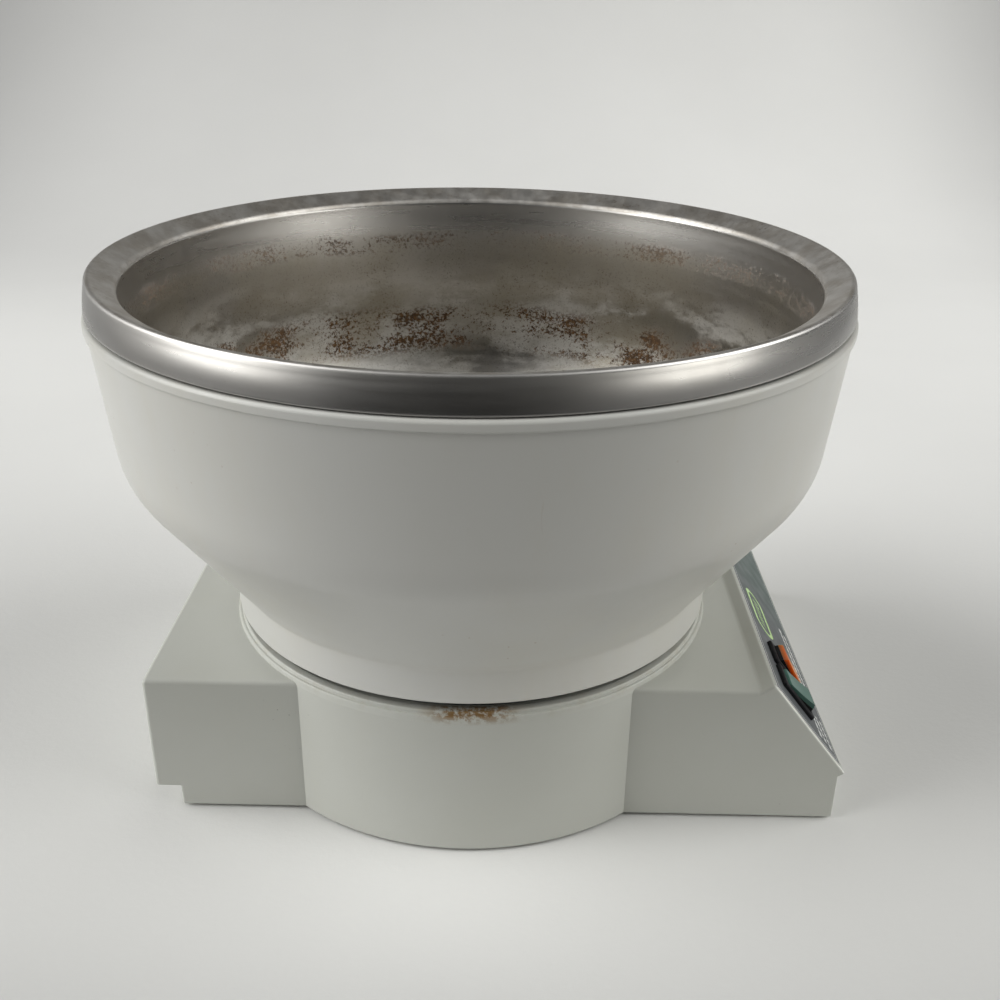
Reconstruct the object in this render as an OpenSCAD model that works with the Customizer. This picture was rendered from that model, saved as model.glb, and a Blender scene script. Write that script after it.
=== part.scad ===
// Bowl-type vibratory rock tumbler. A loose steel bowl stands in a sprung plastic bowl,
// whose drive plate carries an eccentric-weight motor inside a box-shaped base.
// Millimetres. Origin on the bowl's axis at the surface the feet stand on.
// +X points to the control panel, -Y to the front, +Z up.

/* [Base housing] */
// Gap that the feet leave under the housing
foot_gap = 1.2; // [1:0.1:3]
// Radius of the round front of the base
drum_r = 115; // [112:1:120]
// Height of the flat top of the base
wing_top = 68.2; // [66:0.2:70]
// Front face of the box part
front_y = -89.5; // [-95:0.5:-85]
// Rear face of the box part
rear_y = 125; // [122:1:135]
// Left end of the base
left_x = -140; // [-150:1:-136]
// Wall thickness of the housing
wall = 3; // [2.5:0.5:3.5]
// Height of the hand notch under the left end
notch_h = 11.4; // [8:0.2:14]
// Depth of the hand notch under the left end
notch_d = 11.4; // [8:0.2:14]
// Radius of the round well in the top
well_r = 106; // [104:1:108]
// Height of the collar round the well
collar_top = 71.7; // [70:0.1:72.5]

/* [Control panel] */
// Where the small step up to the panel starts
riser_x = 128; // [126:0.5:130]
// Upper edge of the sloped panel, X
panel_x = 133.2; // [132:0.2:136]
// Upper edge of the sloped panel, Z
panel_z = 71.8; // [70:0.2:73]
// Tilt of the panel below level, degrees
panel_tilt = 51.8; // [48:0.2:54]
// Length of the sloped panel, edge to tip
panel_len = 58.4; // [56:0.2:60]
// Length of the printed label down the slope
label_len = 53.4; // [48:0.2:54]
// Where the rear switch is centred along Y
switch_rear_y = -48.5; // [-50:0.5:-46]
// Where the front switch is centred along Y
switch_front_y = -68; // [-69:0.5:-67]
// Where both switches are centred down the slope
switch_s = 23; // [20:1:26]

/* [Plastic bowl] */
// Radius of the skirt that hides the springs
skirt_r = 113.7; // [112:0.1:115]
// Lower edge of the skirt
skirt_z = 76.1; // [75:0.1:77]
// Height at which the cone leaves the skirt
cone_z = 92.5; // [91:0.5:95]
// Outer radius where the cone and the upper side would meet
shoulder_r = 158.1; // [156:0.1:160]
// Height where the cone and the upper side would meet
shoulder_z = 152.9; // [150:0.1:156]
// Outer radius at the top of the side
side_r = 164.4; // [163:0.1:165]
// Outer radius of the bead round the mouth
lip_r = 165.6; // [165:0.1:167]
// Lower edge of the bead
lip_z = 214.5; // [213:0.1:216]
// Top of the bead
bowl_top = 218.9; // [218:0.1:219]
// Wall thickness of the plastic bowl
bowl_wall = 4; // [3:0.5:4]

/* [Steel bowl] */
// Outer radius at the lower edge of the rolled rim
rim_r = 164.6; // [163:0.1:165]
// Lower edge of the rolled rim
rim_z = 222; // [221.4:0.1:224]
// Height of the rolled rim
rim_h = 13.6; // [13:0.1:16]
// Slope of the rim's top, down towards the mouth, in degrees
rim_slope = 30; // [20:1:35]
// Radius of the mouth inside the rim
mouth_r = 150.6; // [149:0.1:152]
// Outer radius of the wall where the round bottom starts
steel_r = 146.5; // [144:0.5:147]
// Radius of the curve from wall to floor
steel_bend = 75; // [72:1:78]
// Underside of the steel bowl
steel_floor = 101; // [101:0.5:103]
// Sheet thickness
sheet = 1.2; // [0.8:0.1:1.5]
// How far the loose bowl leans to the front, degrees
steel_lean = 0.9; // [0:0.1:1]

/* [Springs and drive] */
// Radius of the circle that the springs stand on
spring_circle = 86; // [84:1:88]
// Mean radius of a spring
spring_r = 9; // [8:0.5:10]
// Wire radius of a spring
wire_r = 1.3; // [1:0.1:1.5]
// Working turns of a spring
spring_turns = 6; // [5:1:8]
// Top of the posts under the springs
post_top = 30; // [26:1:34]
// Underside of the drive plate
drive_z = 85.5; // [85:0.1:86]
// Thickness of the drive plate
drive_t = 4; // [3:0.5:4]
// Radius of the drive plate
drive_r = 100; // [98:1:102]

/* [Motor] */
// Radius of the motor can
motor_r = 46; // [42:1:48]
// Lower end of the motor
motor_z = 21.5; // [21:0.5:23]
// Length of the motor with both end bells
motor_h = 48; // [46:1:48]
// Shaft radius
shaft_r = 4; // [3:0.5:5]
// Radius of the eccentric weights
weight_r = 34; // [28:1:36]
// Thickness of the eccentric weights
weight_t = 8; // [6:1:9]

/* [Hidden] */

fine = 128;        // facets asked of a large round surface
small = 32;        // facets asked of a small round surface
far = 400;         // a length that passes right through the part
play = 0.3;        // gap between pieces that are not a fit
slip = 0.03;       // radial clearance of a running fit
corner_steps = 8;  // straight steps in a rounded corner of a profile

plate_z = foot_gap + 1.2;
plate_t = 3;
plate_top = plate_z + plate_t;
inner_top = wing_top - wall;
panel_dir = [cos(panel_tilt), -sin(panel_tilt)];
panel_normal = [sin(panel_tilt), cos(panel_tilt)];
panel_tip = [panel_x, panel_z] + panel_len * panel_dir;
end_x = panel_tip[0] - 2.6;
end_in_x = end_x - wall;
end_z = panel_tip[1] - 1.4;
notch_x = left_x + notch_d;
label_t = 0.4;
label_edge = 1.2;

// Screw and foot places on the base plate
plate_screw_at = [[-122, -82], [-122, 117], [149, -82], [149, 117], [0, 117], [0, -107]];
foot_at = [[-110, -70], [-110, 104], [138, -66], [138, 104]];
plate_screw_r = 1.6;
foot_neck_r = 4;
spring_angles = [45, 135, 225, 315];

switch_w = 17;         // frame, along Y
switch_l = 24;         // frame, down the slope
frame_t = 2;
rocker_w = 12.6;
rocker_reach = 9.5;   // radius of the rocker's round sides about its pivot
rocker_tilt = 9;
pivot_h = -0.5;        // pivot above the panel face
pin_r = 1.2;
switch_depth = 20;

inlet_x = -92;
inlet_z = 37;
block_at = [138, 10];
block_size = [18, 50, 12];
cap_at = [-111, 18, 30];
cap_r = 14;
cap_len = 52;
block_screw_at = [[block_at[0], block_at[1] - 5],
    [block_at[0], block_at[1] + block_size[1] + 5]];
clip_screw_at = [[cap_at[0] - 6, cap_at[1] + 24], [cap_at[0] + 6, cap_at[1] + 24]];

motor_top = motor_z + motor_h;
bell_t = 6;
can_wall = 2;
rotor_r = 24;
air_gap = 0.6;
core_r = motor_r - can_wall;
core_z0 = motor_z + 15;
core_z1 = motor_top - 15;
bearing_r = 11;
bearing_w = 7;
ear_r = 54;
ear_angles = [45, 135, 225, 315];
stud_r = 2.5;
lower_weight_z = 11;
upper_weight_z = motor_top + 3.5;
shaft_z0 = 9;
shaft_z1 = upper_weight_z + weight_t + 1.5;
floor_t = 4;
bowl_floor_z = drive_z + drive_t;
bowl_floor_top = bowl_floor_z + floor_t;
bowl_screw_r = 2.4;
bowl_screw_circle = 62;

// ---- helpers ----

function unit(v) = v / norm(v);

// The points that round the corner at b, between a and c, to radius r
function corner(a, b, c, r) =
    let(
        u = unit(a - b),
        v = unit(c - b),
        half = acos(u * v) / 2,
        reach = r / tan(half),
        centre = b + unit(u + v) * r / sin(half),
        p = b + u * reach - centre,
        q = b + v * reach - centre,
        sweep = 180 - 2 * half,
        side = sign(p[0] * q[1] - p[1] * q[0])
    )
    [for (i = [0 : corner_steps])
        let(t = side * sweep * i / corner_steps)
        centre + [p[0] * cos(t) - p[1] * sin(t), p[0] * sin(t) + p[1] * cos(t)]];

// An outline of [x, y, corner radius] as plain points
function rounded(path) =
    let(n = len(path))
    [for (i = [0 : n - 1])
        let(
            a = [path[(i + n - 1) % n][0], path[(i + n - 1) % n][1]],
            b = [path[i][0], path[i][1]],
            c = [path[(i + 1) % n][0], path[(i + 1) % n][1]]
        )
        each path[i][2] > 0 ? corner(a, b, c, path[i][2]) : [b]];

// Points of an arc from angle a0 to a1
function arc(centre, r, a0, a1, steps) =
    [for (i = [0 : steps])
        let(a = a0 + (a1 - a0) * i / steps)
        centre + r * [cos(a), sin(a)]];

// An outline drawn in X and Z, pushed from y0 to y1
module along_y(points, y0, y1) {
    translate([0, y1, 0])
        rotate([90, 0, 0])
            linear_extrude(y1 - y0)
                polygon(points);
}

module turned(points) {
    rotate_extrude($fn = fine)
        polygon(points);
}

module rod(r, z0, z1, sides = small) {
    translate([0, 0, z0])
        cylinder(r = r, h = z1 - z0, $fn = sides);
}

module tube(r_out, r_in, z0, z1, sides = small) {
    difference() {
        rod(r_out, z0, z1, sides);
        rod(r_in, z0 - 1, z1 + 1, sides);
    }
}

module box(low, high) {
    translate(low)
        cube(high - low);
}

// Children placed on the sloped panel: X down the slope, Z out of it
module on_panel(y, s) {
    translate([panel_x, y, panel_z])
        rotate([0, panel_tilt, 0])
            translate([s, 0, 0])
                children();
}

module at_angles(angles, r) {
    for (a = angles)
        rotate([0, 0, a])
            translate([r, 0, 0])
                children();
}

module at_places(places) {
    for (p = places)
        translate([p[0], p[1], 0])
            children();
}

// A round wire along points, closed at both ends
module wire(points, r, sides = 8) {
    n = len(points);
    rings = [for (i = [0 : n - 1])
        let(
            along = unit(points[min(i + 1, n - 1)] - points[max(i - 1, 0)]),
            side = unit(cross(along, abs(along[2]) > 0.9 ? [1, 0, 0] : [0, 0, 1])),
            up = cross(side, along)
        )
        each [for (k = [0 : sides - 1])
            points[i] + r * (cos(360 * k / sides) * side + sin(360 * k / sides) * up)]];
    walls = [for (i = [0 : n - 2], k = [0 : sides - 1])
        let(a = i * sides + k, b = i * sides + (k + 1) % sides)
        [a, b, b + sides, a + sides]];
    start = [for (k = [sides - 1 : -1 : 0]) k];
    finish = [for (k = [0 : sides - 1]) (n - 1) * sides + k];
    polyhedron(points = rings, faces = concat(walls, [start, finish]));
}

// A gentle curve through hand-picked points
function between(a, b, c, d, t) =
    0.5 * (2 * b + (c - a) * t + (2 * a - 5 * b + 4 * c - d) * t * t
        + (3 * b - a - 3 * c + d) * t * t * t);
function eased(points, steps) =
    let(n = len(points))
    concat(
        [for (i = [0 : n - 2], k = [0 : steps - 1])
            between(points[max(i - 1, 0)], points[i], points[i + 1],
                points[min(i + 2, n - 1)], k / steps)],
        [points[n - 1]]);

// ---- base ----

housing_profile = [[left_x, notch_h], [left_x, wing_top], [riser_x, wing_top],
    [panel_x, panel_z], panel_tip, [end_x, end_z], [end_x, foot_gap],
    [notch_x, foot_gap], [notch_x, notch_h]];

inner_line = [panel_x, panel_z] - wall * panel_normal;
inner_slope_top = inner_line + panel_dir * (inner_line[1] - inner_top) / sin(panel_tilt);
inner_slope_end = inner_line + panel_dir * (end_in_x - inner_line[0]) / cos(panel_tilt);
hollow_profile = [[left_x + wall, notch_h + wall], [left_x + wall, inner_top],
    inner_slope_top, inner_slope_end, [end_in_x, -1], [notch_x + wall, -1],
    [notch_x + wall, notch_h + wall]];

collar_profile = rounded([[well_r, inner_top, 0], [well_r, collar_top, 0.8],
    [drum_r - 2.2, collar_top, 0.8], [drum_r - 1.9, collar_top - 1.6, 0],
    [drum_r - 0.6, collar_top - 1.7, 1.1], [drum_r, wing_top - 1, 0],
    [drum_r, inner_top, 0]]);

module housing_shell() {
    difference() {
        union() {
            along_y(housing_profile, front_y, rear_y);
            rod(drum_r, foot_gap, wing_top - 1, fine);
            turned(collar_profile);
        }
        along_y(hollow_profile, front_y + wall, rear_y - wall);
        rod(drum_r - wall, -1, inner_top, fine);
        rod(well_r, 0, far, fine);
    }
}

module base_housing() {
    color("#d9dcd4") difference() {
        union() {
            housing_shell();
            intersection() {
                at_places(plate_screw_at)
                    rod(4.5, plate_top, inner_top + 0.5);
                union() {
                    along_y(housing_profile, front_y, rear_y);
                    rod(drum_r, foot_gap, wing_top - 1, fine);
                }
            }
        }
        at_places(plate_screw_at)
            rod(plate_screw_r, plate_top - 1, plate_top + 12);
        for (y = [switch_rear_y, switch_front_y])
            on_panel(y, switch_s)
                switch_hole();
        box([inlet_x - 14, rear_y - 2 * wall, inlet_z - 10.5],
            [inlet_x + 14, rear_y + 1, inlet_z + 10.5]);
        inlet_screw_places()
            rod(1.5, -8, 1);
    }
}

module switch_hole() {
    box([-switch_l / 2 + 0.8, -switch_w / 2 + 0.8, -2 * wall],
        [switch_l / 2 - 0.8, switch_w / 2 - 0.8, 2 * wall]);
}

module base_plate() {
    color("#3c3f41") difference() {
        union() {
            box([notch_x + wall + play, front_y + wall + play, plate_z],
                [end_in_x - play, rear_y - wall - play, plate_top]);
            rod(drum_r - wall - play, plate_z, plate_top, fine);
            at_angles(spring_angles, spring_circle)
                rod(13, plate_top - 1, post_top);
        }
        at_angles(spring_angles, spring_circle)
            rod(10, plate_z - 1, post_top - 3);
        at_places(plate_screw_at) {
            rod(plate_screw_r + 0.2, 0, far);
            rod(4, 0, plate_z + 2);
        }
        at_places(foot_at)
            rod(foot_neck_r, 0, far);
        at_places(block_screw_at)
            rod(1.5, 0, far);
        at_places(clip_screw_at)
            rod(1.2, 0, far);
        for (i = [-4 : 4])
            box([i * 12 - 2, -32, 0], [i * 12 + 2, 32, plate_top + 1]);
    }
}

module rubber_feet() {
    color("#1f1f1f") at_places(foot_at)
        turned([[0, 0], [9, 0], [10, 0.8], [10, plate_z], [foot_neck_r, plate_z],
            [foot_neck_r, plate_top], [6, plate_top], [4.5, plate_top + 2.4],
            [0, plate_top + 2.4]]);
}

module plate_screws() {
    color("#8f9294") at_places(plate_screw_at)
        difference() {
            union() {
                rod(3.6, plate_z, plate_z + 2);
                rod(plate_screw_r - 0.05, plate_z + 1, plate_top + 10);
            }
            screw_cross(plate_z, 1.4);
        }
}

// Cross recess that opens downwards at height z
module screw_cross(z, depth) {
    for (a = [0, 90])
        rotate([0, 0, a])
            box([-1.8, -0.4, z - 1], [1.8, 0.4, z + depth]);
}

module label_plate() {
    color("#5b5e63") difference() {
        on_panel(0, 0)
            box([label_edge, front_y + label_edge, 0],
                [label_len + label_edge, rear_y - label_edge, label_t]);
        for (y = [switch_rear_y, switch_front_y])
            on_panel(y, switch_s)
                switch_hole();
    }
}

// ---- switches ----

module switch_frame() {
    flange_in = [rocker_reach + 0.4, rocker_w / 2 + play];
    body = [switch_l / 2 - 1, switch_w / 2 - 1];
    difference() {
        union() {
            difference() {
                box([-switch_l / 2, -switch_w / 2, label_t],
                    [switch_l / 2, switch_w / 2, label_t + frame_t]);
                for (side = [-1, 1]) {
                    translate([side * switch_l / 2, 0, label_t + frame_t])
                        rotate([0, side * 45, 0])
                            cube([1.2, far, 1.2], center = true);
                    translate([0, side * switch_w / 2, label_t + frame_t])
                        rotate([side * -45, 0, 0])
                            cube([far, 1.2, 1.2], center = true);
                }
            }
            box([-body[0], -body[1], -switch_depth], [body[0], body[1], label_t + 0.5]);
        }
        box([-flange_in[0], -flange_in[1], -8], [flange_in[0], flange_in[1], 9]);
        rotate([90, 0, 0])
            translate([0, pivot_h, 0])
                cylinder(r = rocker_reach + 0.4, h = 2 * flange_in[1], center = true, $fn = 64);
        translate([0, 0, pivot_h])
            rotate([90, 0, 0])
                cylinder(r = pin_r, h = far, center = true, $fn = small);
    }
}

module switch_frames() {
    color("#17181a") for (y = [switch_rear_y, switch_front_y])
        on_panel(y, switch_s)
            switch_frame();
}

module switch_tabs() {
    color("#b9a45a") for (y = [switch_rear_y, switch_front_y], s = [-7, 0, 7])
        on_panel(y, switch_s + s)
            box([-0.4, -2.4, -switch_depth - 8], [0.4, 2.4, -switch_depth]);
}

module rocker_pins() {
    color("#8f9294") for (y = [switch_rear_y, switch_front_y])
        on_panel(y, switch_s)
            translate([0, 0, pivot_h])
                rotate([90, 0, 0])
                    cylinder(r = pin_r - 0.01, h = switch_w - 3, center = true, $fn = small);
}

// A rocker with its end down the slope raised by tilt degrees
module rocker(tilt) {
    top = 5.1;
    dip = 4.3;
    half = rocker_reach;
    crown = [[-half, top], [-half, -6], [half, -6], [half, top], [half * 0.88, top],
        [0, dip], [-half * 0.88, top]];
    translate([0, 0, pivot_h])
        rotate([0, -tilt, 0])
            difference() {
                intersection() {
                    along_y(crown, -rocker_w / 2, rocker_w / 2);
                    rotate([90, 0, 0])
                        cylinder(r = rocker_reach, h = rocker_w + 1, center = true, $fn = 64);
                }
                rotate([90, 0, 0])
                    cylinder(r = pin_r + slip, h = far, center = true, $fn = small);
            }
}

module orange_rocker() {
    color("#d9641c") on_panel(switch_rear_y, switch_s)
        rocker(-rocker_tilt);
}

module green_rocker() {
    color("#2f6b58") on_panel(switch_front_y, switch_s)
        rocker(rocker_tilt);
}

// ---- mains side ----

module at_inlet() {
    translate([inlet_x, rear_y, inlet_z])
        rotate([-90, 0, 0])
            children();
}

module inlet_screw_places() {
    for (side = [-20, 20])
        at_inlet()
            translate([side, 0, 0])
                children();
}

module mains_inlet() {
    color("#1b1c1e") at_inlet() difference() {
        union() {
            box([-25, -11.5, 0], [25, 11.5, 2.5]);
            box([-13.7, -10.2, -18], [13.7, 10.2, 1]);
        }
        box([-12.2, -8.2, -16], [12.2, 8.2, 4]);
        for (side = [-20, 20])
            translate([side, 0, 0])
                rod(1.8, -1, 4);
        for (p = [[-7, 2], [0, -2], [7, 2]])
            box([p[0] - 1, p[1] - 2, -20], [p[0] + 1, p[1] + 2, -10]);
    }
}

module inlet_pins() {
    color("#c9cbcc") at_inlet()
        for (p = [[-7, 2], [0, -2], [7, 2]])
            box([p[0] - 1, p[1] - 2, -26], [p[0] + 1, p[1] + 2, -3]);
}

module inlet_screws() {
    color("#8f9294") inlet_screw_places()
        union() {
            rod(3.2, 2.5, 4.5);
            rod(1.45, -7, 3);
        }
}

module terminal_block() {
    x = block_at[0];
    y = block_at[1];
    color("#e6e4da") difference() {
        union() {
            box([x - block_size[0] / 2, y, plate_top],
                [x + block_size[0] / 2, y + block_size[1], plate_top + block_size[2]]);
            box([x - 5, y - 9, plate_top], [x + 5, y + block_size[1] + 9, plate_top + 2]);
        }
        for (i = [0 : 3])
            translate([x, y + 7 + 12 * i, 0])
                rod(2.5, plate_top + 4, far);
        for (i = [0 : 2])
            box([x - 10, y + 12.2 + 12 * i, plate_top + 7],
                [x + 10, y + 13.8 + 12 * i, plate_top + 20]);
        at_places(block_screw_at)
            rod(1.6, 0, far);
    }
}

module terminal_screws() {
    color("#c2a457") for (i = [0 : 3])
        translate([block_at[0], block_at[1] + 7 + 12 * i, 0])
            difference() {
                rod(2.4, plate_top + 4, plate_top + 9);
                box([-3, -0.4, plate_top + 8], [3, 0.4, plate_top + 10]);
            }
}

module block_screws() {
    color("#8f9294") at_places(block_screw_at)
        union() {
            rod(3, plate_top + 2, plate_top + 4);
            rod(1.45, plate_z + 0.5, plate_top + 3);
        }
}

module run_capacitor() {
    color("#c8ccd0") translate(cap_at)
        rotate([-90, 0, 0])
            turned([[0, 0], [cap_r - 1, 0], [cap_r, 1], [cap_r, cap_len - 3],
                [cap_r - 2, cap_len - 1.5], [cap_r - 2, cap_len], [0, cap_len]]);
}

module capacitor_clip() {
    y0 = cap_at[1] + 18;
    color("#8f9294") difference() {
        union() {
            translate([cap_at[0], y0, cap_at[2]])
                rotate([-90, 0, 0])
                    rod(cap_r + 1.2, 0, 12, 64);
            box([cap_at[0] - 3, y0, plate_top], [cap_at[0] + 3, y0 + 12, cap_at[2] - cap_r]);
            box([cap_at[0] - 9, y0, plate_top], [cap_at[0] + 9, y0 + 12, plate_top + 1.5]);
        }
        translate([cap_at[0], y0 - 1, cap_at[2]])
            rotate([-90, 0, 0])
                rod(cap_r, 0, 14, 64);
        at_places(clip_screw_at)
            rod(1.3, 0, plate_top + 2);
    }
}

module clip_screws() {
    color("#8f9294") at_places(clip_screw_at)
        union() {
            rod(2.2, plate_top + 1.5, plate_top + 3);
            rod(1.15, plate_z + 0.5, plate_top + 2);
        }
}

// The leads run along the rear wall, then down to the terminal block
module supply_leads() {
    lead_r = 1.1;
    for (i = [0 : 1]) {
        lift = i * 3.2;
        color(i == 0 ? "#5a3a22" : "#2b4f8a")
            wire(concat([[inlet_x + 14 * i - 7, rear_y - 26.1, inlet_z - 2]],
                eased([[inlet_x + 14 * i - 7, rear_y - 29, inlet_z - 2],
                [inlet_x + 12 + 8 * i, rear_y - 35, inlet_z - 3],
                [-40, 105, 20 + lift], [40, 106, 14 + lift], [108, 104, 12.5 + lift],
                [136, 84, 13 + lift], [136.5 + 3 * i, 74, 12.5 + lift],
                [136.5 + 3 * i, 66, 12.2 + lift],
                [136.5 + 3 * i, block_at[1] + block_size[1] + 0.3, 12 + lift]], 5)), lead_r);
    }
}

lead_end = [motor_r + 2.8, 0, motor_z + 16];

module motor_lead() {
    color("#222426")
        wire(eased([[block_at[0] - block_size[0] / 2 - 0.3, 34, 12],
            [118, 33, 12], [96, 24, 14], [76, 8, 18], [62, 1, 28],
            [56, 0, 36], [52, 0, lead_end[2]], lead_end], 5), 2.2);
}

module lead_grommet() {
    color("#2a2a2a") translate([motor_r, 0, lead_end[2]])
        rotate([0, 90, 0])
            rod(4, -can_wall, 2.5);
}

// ---- springs ----

module lower_spring_cups() {
    color("#a3a6a8") at_angles(spring_angles, spring_circle)
        union() {
            tube(12.5, 11, post_top, post_top + 5);
            rod(12.5, post_top, post_top + 1.5);
            rod(6.5, post_top + 1, post_top + 8);
        }
}

module upper_spring_cups() {
    color("#a3a6a8") at_angles(spring_angles, spring_circle)
        union() {
            tube(12.5, 11, drive_z - 5, drive_z);
            rod(12.5, drive_z - 1.5, drive_z);
            rod(6.5, drive_z - 8, drive_z - 1);
        }
}

spring_z0 = post_top + 1.5 + wire_r;
spring_z1 = drive_z - 1.5 - wire_r;
steps_per_turn = 14;

// Flat closed coils at both ends and an even pitch between them
function coil_rise(t) = let(e = 1 / (spring_turns + 2)) min(1, max(0, (t - e) / (1 - 2 * e)));

module coil_springs() {
    total = (spring_turns + 2) * steps_per_turn;
    pitch_gap = 2.15 * wire_r;
    path = [for (i = [0 : total])
        let(
            t = i / total,
            a = 360 * i / steps_per_turn,
            dead = min(1, t * (spring_turns + 2)) + max(0, t * (spring_turns + 2) - spring_turns - 1),
            z = spring_z0 + pitch_gap * dead
                + (spring_z1 - spring_z0 - 2 * pitch_gap) * coil_rise(t)
        )
        [spring_r * cos(a), spring_r * sin(a), z]];
    color("#b9bcbe") at_angles(spring_angles, spring_circle)
        wire(path, wire_r, 6);
}

// ---- bowl and drive plate ----

module drive_plate() {
    color("#b4b8ba") difference() {
        rod(drive_r, drive_z, bowl_floor_z, fine);
        rod(9, 0, far);
        at_angles([0 : 60 : 300], bowl_screw_circle)
            rod(bowl_screw_r + 0.1, 0, far);
        at_angles(ear_angles, ear_r)
            rod(stud_r + 0.1, 0, far);
        at_angles([0 : 90 : 270], 82)
            rod(8, 0, far);
    }
}

module bowl_screws() {
    color("#8f9294") at_angles([0 : 60 : 300], bowl_screw_circle)
        difference() {
            union() {
                rod(4.5, drive_z - 3, drive_z);
                rod(bowl_screw_r, drive_z - 1, bowl_floor_top + 2);
            }
            screw_cross(drive_z - 3, 1.8);
        }
}

cone_lean = atan2(shoulder_r - skirt_r, shoulder_z - cone_z);
cone_inset = bowl_wall / cos(cone_lean);
outer_side = rounded([[skirt_r - 3, skirt_z, 0], [skirt_r, skirt_z, 0.8],
    [skirt_r, cone_z, 5], [shoulder_r, shoulder_z, 36], [side_r, lip_z, 0.6],
    [lip_r, lip_z + 0.4, 0.8], [lip_r, bowl_top, 1.4], [lip_r - bowl_wall, bowl_top, 1.2],
    [side_r - bowl_wall, lip_z, 2], [shoulder_r - bowl_wall - 0.4, shoulder_z, 32],
    [skirt_r - cone_inset + (bowl_floor_top - cone_z) * tan(cone_lean), bowl_floor_top, 3],
    [0, bowl_floor_top, 0], [0, bowl_floor_z, 0], [skirt_r - 3, bowl_floor_z, 1]]);

module outer_bowl() {
    color("#eceeec") difference() {
        union() {
            turned(outer_side);
            at_angles([0 : 60 : 300], bowl_screw_circle)
                rod(6, bowl_floor_top - 1, bowl_floor_top + 3.5);
        }
        at_angles([0 : 60 : 300], bowl_screw_circle)
            rod(bowl_screw_r + 0.05, 0, bowl_floor_top + 2.2);
    }
}

module liner_ring() {
    color("#2b2c2e") tube(44, 36, bowl_floor_top, steel_floor - 0.9, 96);
}

// Sheet path: wall, out over the rim's sloped top, round its crest and down its outer band
rim_top = rim_z + rim_h;
bend_at = [steel_r - steel_bend, steel_floor + steel_bend];
crest_r = 1.8;
crest_at = [rim_r - 3.6, rim_top - crest_r];
throat_r = 4;
slope_out = [-sin(rim_slope), cos(rim_slope)];
throat_z = (crest_at * slope_out + crest_r - throat_r - (mouth_r + throat_r) * slope_out[0]) / slope_out[1];
throat_at = [mouth_r + throat_r, throat_z];
steel_outline = concat(
    [[0, steel_floor]],
    arc(bend_at, steel_bend, -90, 0, 16),
    [[mouth_r + sheet - 0.8, rim_top - 15]],
    arc(throat_at, throat_r - sheet, 180, 90 + rim_slope, 6),
    arc(crest_at, crest_r - sheet, 90 + rim_slope, 10, 5),
    [[rim_r - sheet, rim_z]],
    [[rim_r, rim_z]],
    arc(crest_at, crest_r, 10, 90 + rim_slope, 8),
    arc(throat_at, throat_r, 90 + rim_slope, 180, 7),
    [[mouth_r - 0.8, rim_top - 15]],
    [[steel_r - sheet, bend_at[1]]],
    arc(bend_at, steel_bend - sheet, -6, -90, 15),
    [[0, steel_floor + sheet]]);

module steel_bowl() {
    color("#a9aaa7") translate([0, 0, rim_z])
        rotate([steel_lean, 0, 0])
            translate([0, 0, -rim_z])
                turned(steel_outline);
}

// ---- motor ----

module motor_can() {
    color("#6f7478") difference() {
        tube(motor_r, motor_r - can_wall, motor_z + bell_t, motor_top - bell_t, 96);
        translate([motor_r, 0, lead_end[2]])
            rotate([0, 90, 0])
                rod(4, -8, 4);
    }
}

module end_bell(z0, z1, seat_z0, seat_z1) {
    difference() {
        union() {
            rod(motor_r, z0, z1, 96);
            at_angles(ear_angles, ear_r)
                rod(6.5, z0, z1);
            for (a = ear_angles)
                rotate([0, 0, a])
                    box([motor_r - 6, -6.5, z0], [ear_r, 6.5, z1]);
            rod(15, min(z0, seat_z0), max(z1, seat_z1), 64);
        }
        rod(bearing_r, seat_z0, seat_z1, 64);
        rod(shaft_r + 2, 0, far);
        at_angles(ear_angles, ear_r)
            rod(stud_r + 0.1, 0, far);
    }
}

bearing_top_z = motor_top - 7.5;
bearing_low_z = motor_z + 0.5;

module motor_top_bell() {
    color("#9a9ea1") end_bell(motor_top - bell_t, motor_top, bearing_top_z - 1, motor_top - 0.5);
}

module motor_bottom_bell() {
    color("#9a9ea1") end_bell(motor_z, motor_z + bell_t, bearing_low_z, motor_z + 8.5);
}

module bearing(z) {
    color("#c9ccce") union() {
        tube(bearing_r, bearing_r - 2.2, z, z + bearing_w, 64);
        tube(bearing_r - 1.9, shaft_r + 2.1, z + 0.6, z + bearing_w - 0.6, 64);
        tube(shaft_r + 2.4, shaft_r + slip, z, z + bearing_w, 64);
    }
}

module upper_bearing() {
    bearing(bearing_top_z);
}

module lower_bearing() {
    bearing(bearing_low_z);
}

module stator_core() {
    color("#585d61") difference() {
        tube(core_r, rotor_r + air_gap, core_z0, core_z1, 96);
        for (a = [0 : 30 : 330])
            rotate([0, 0, a + 15])
                box([rotor_r, -2.6, core_z0 - 1], [core_r - 7, 2.6, core_z1 + 1]);
    }
}

module stator_windings() {
    color("#9c4a22") union() {
        for (z = [core_z0 - 6, core_z1])
            turned(rounded([[rotor_r + 3, z, 2], [core_r - 7, z, 2],
                [core_r - 7, z + 6, 2], [rotor_r + 3, z + 6, 2]]));
        for (a = [0 : 30 : 330])
            rotate([0, 0, a + 15])
                box([rotor_r + 3.2, -2.4, core_z0 - 3], [core_r - 7.4, 2.4, core_z1 + 3]);
    }
}

module motor_standoffs() {
    color("#c9ccce") at_angles(ear_angles, ear_r)
        tube(5, stud_r + 0.1, motor_top, drive_z);
}

module motor_studs() {
    color("#8f9294") at_angles(ear_angles, ear_r)
        rod(stud_r, motor_z - 6, bowl_floor_z - 0.2);
}

module motor_nuts() {
    color("#8f9294") at_angles(ear_angles, ear_r)
        difference() {
            translate([0, 0, motor_z - 4])
                cylinder(r = 4.8, h = 4, $fn = 6);
            rod(stud_r, 0, far);
        }
}

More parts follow.
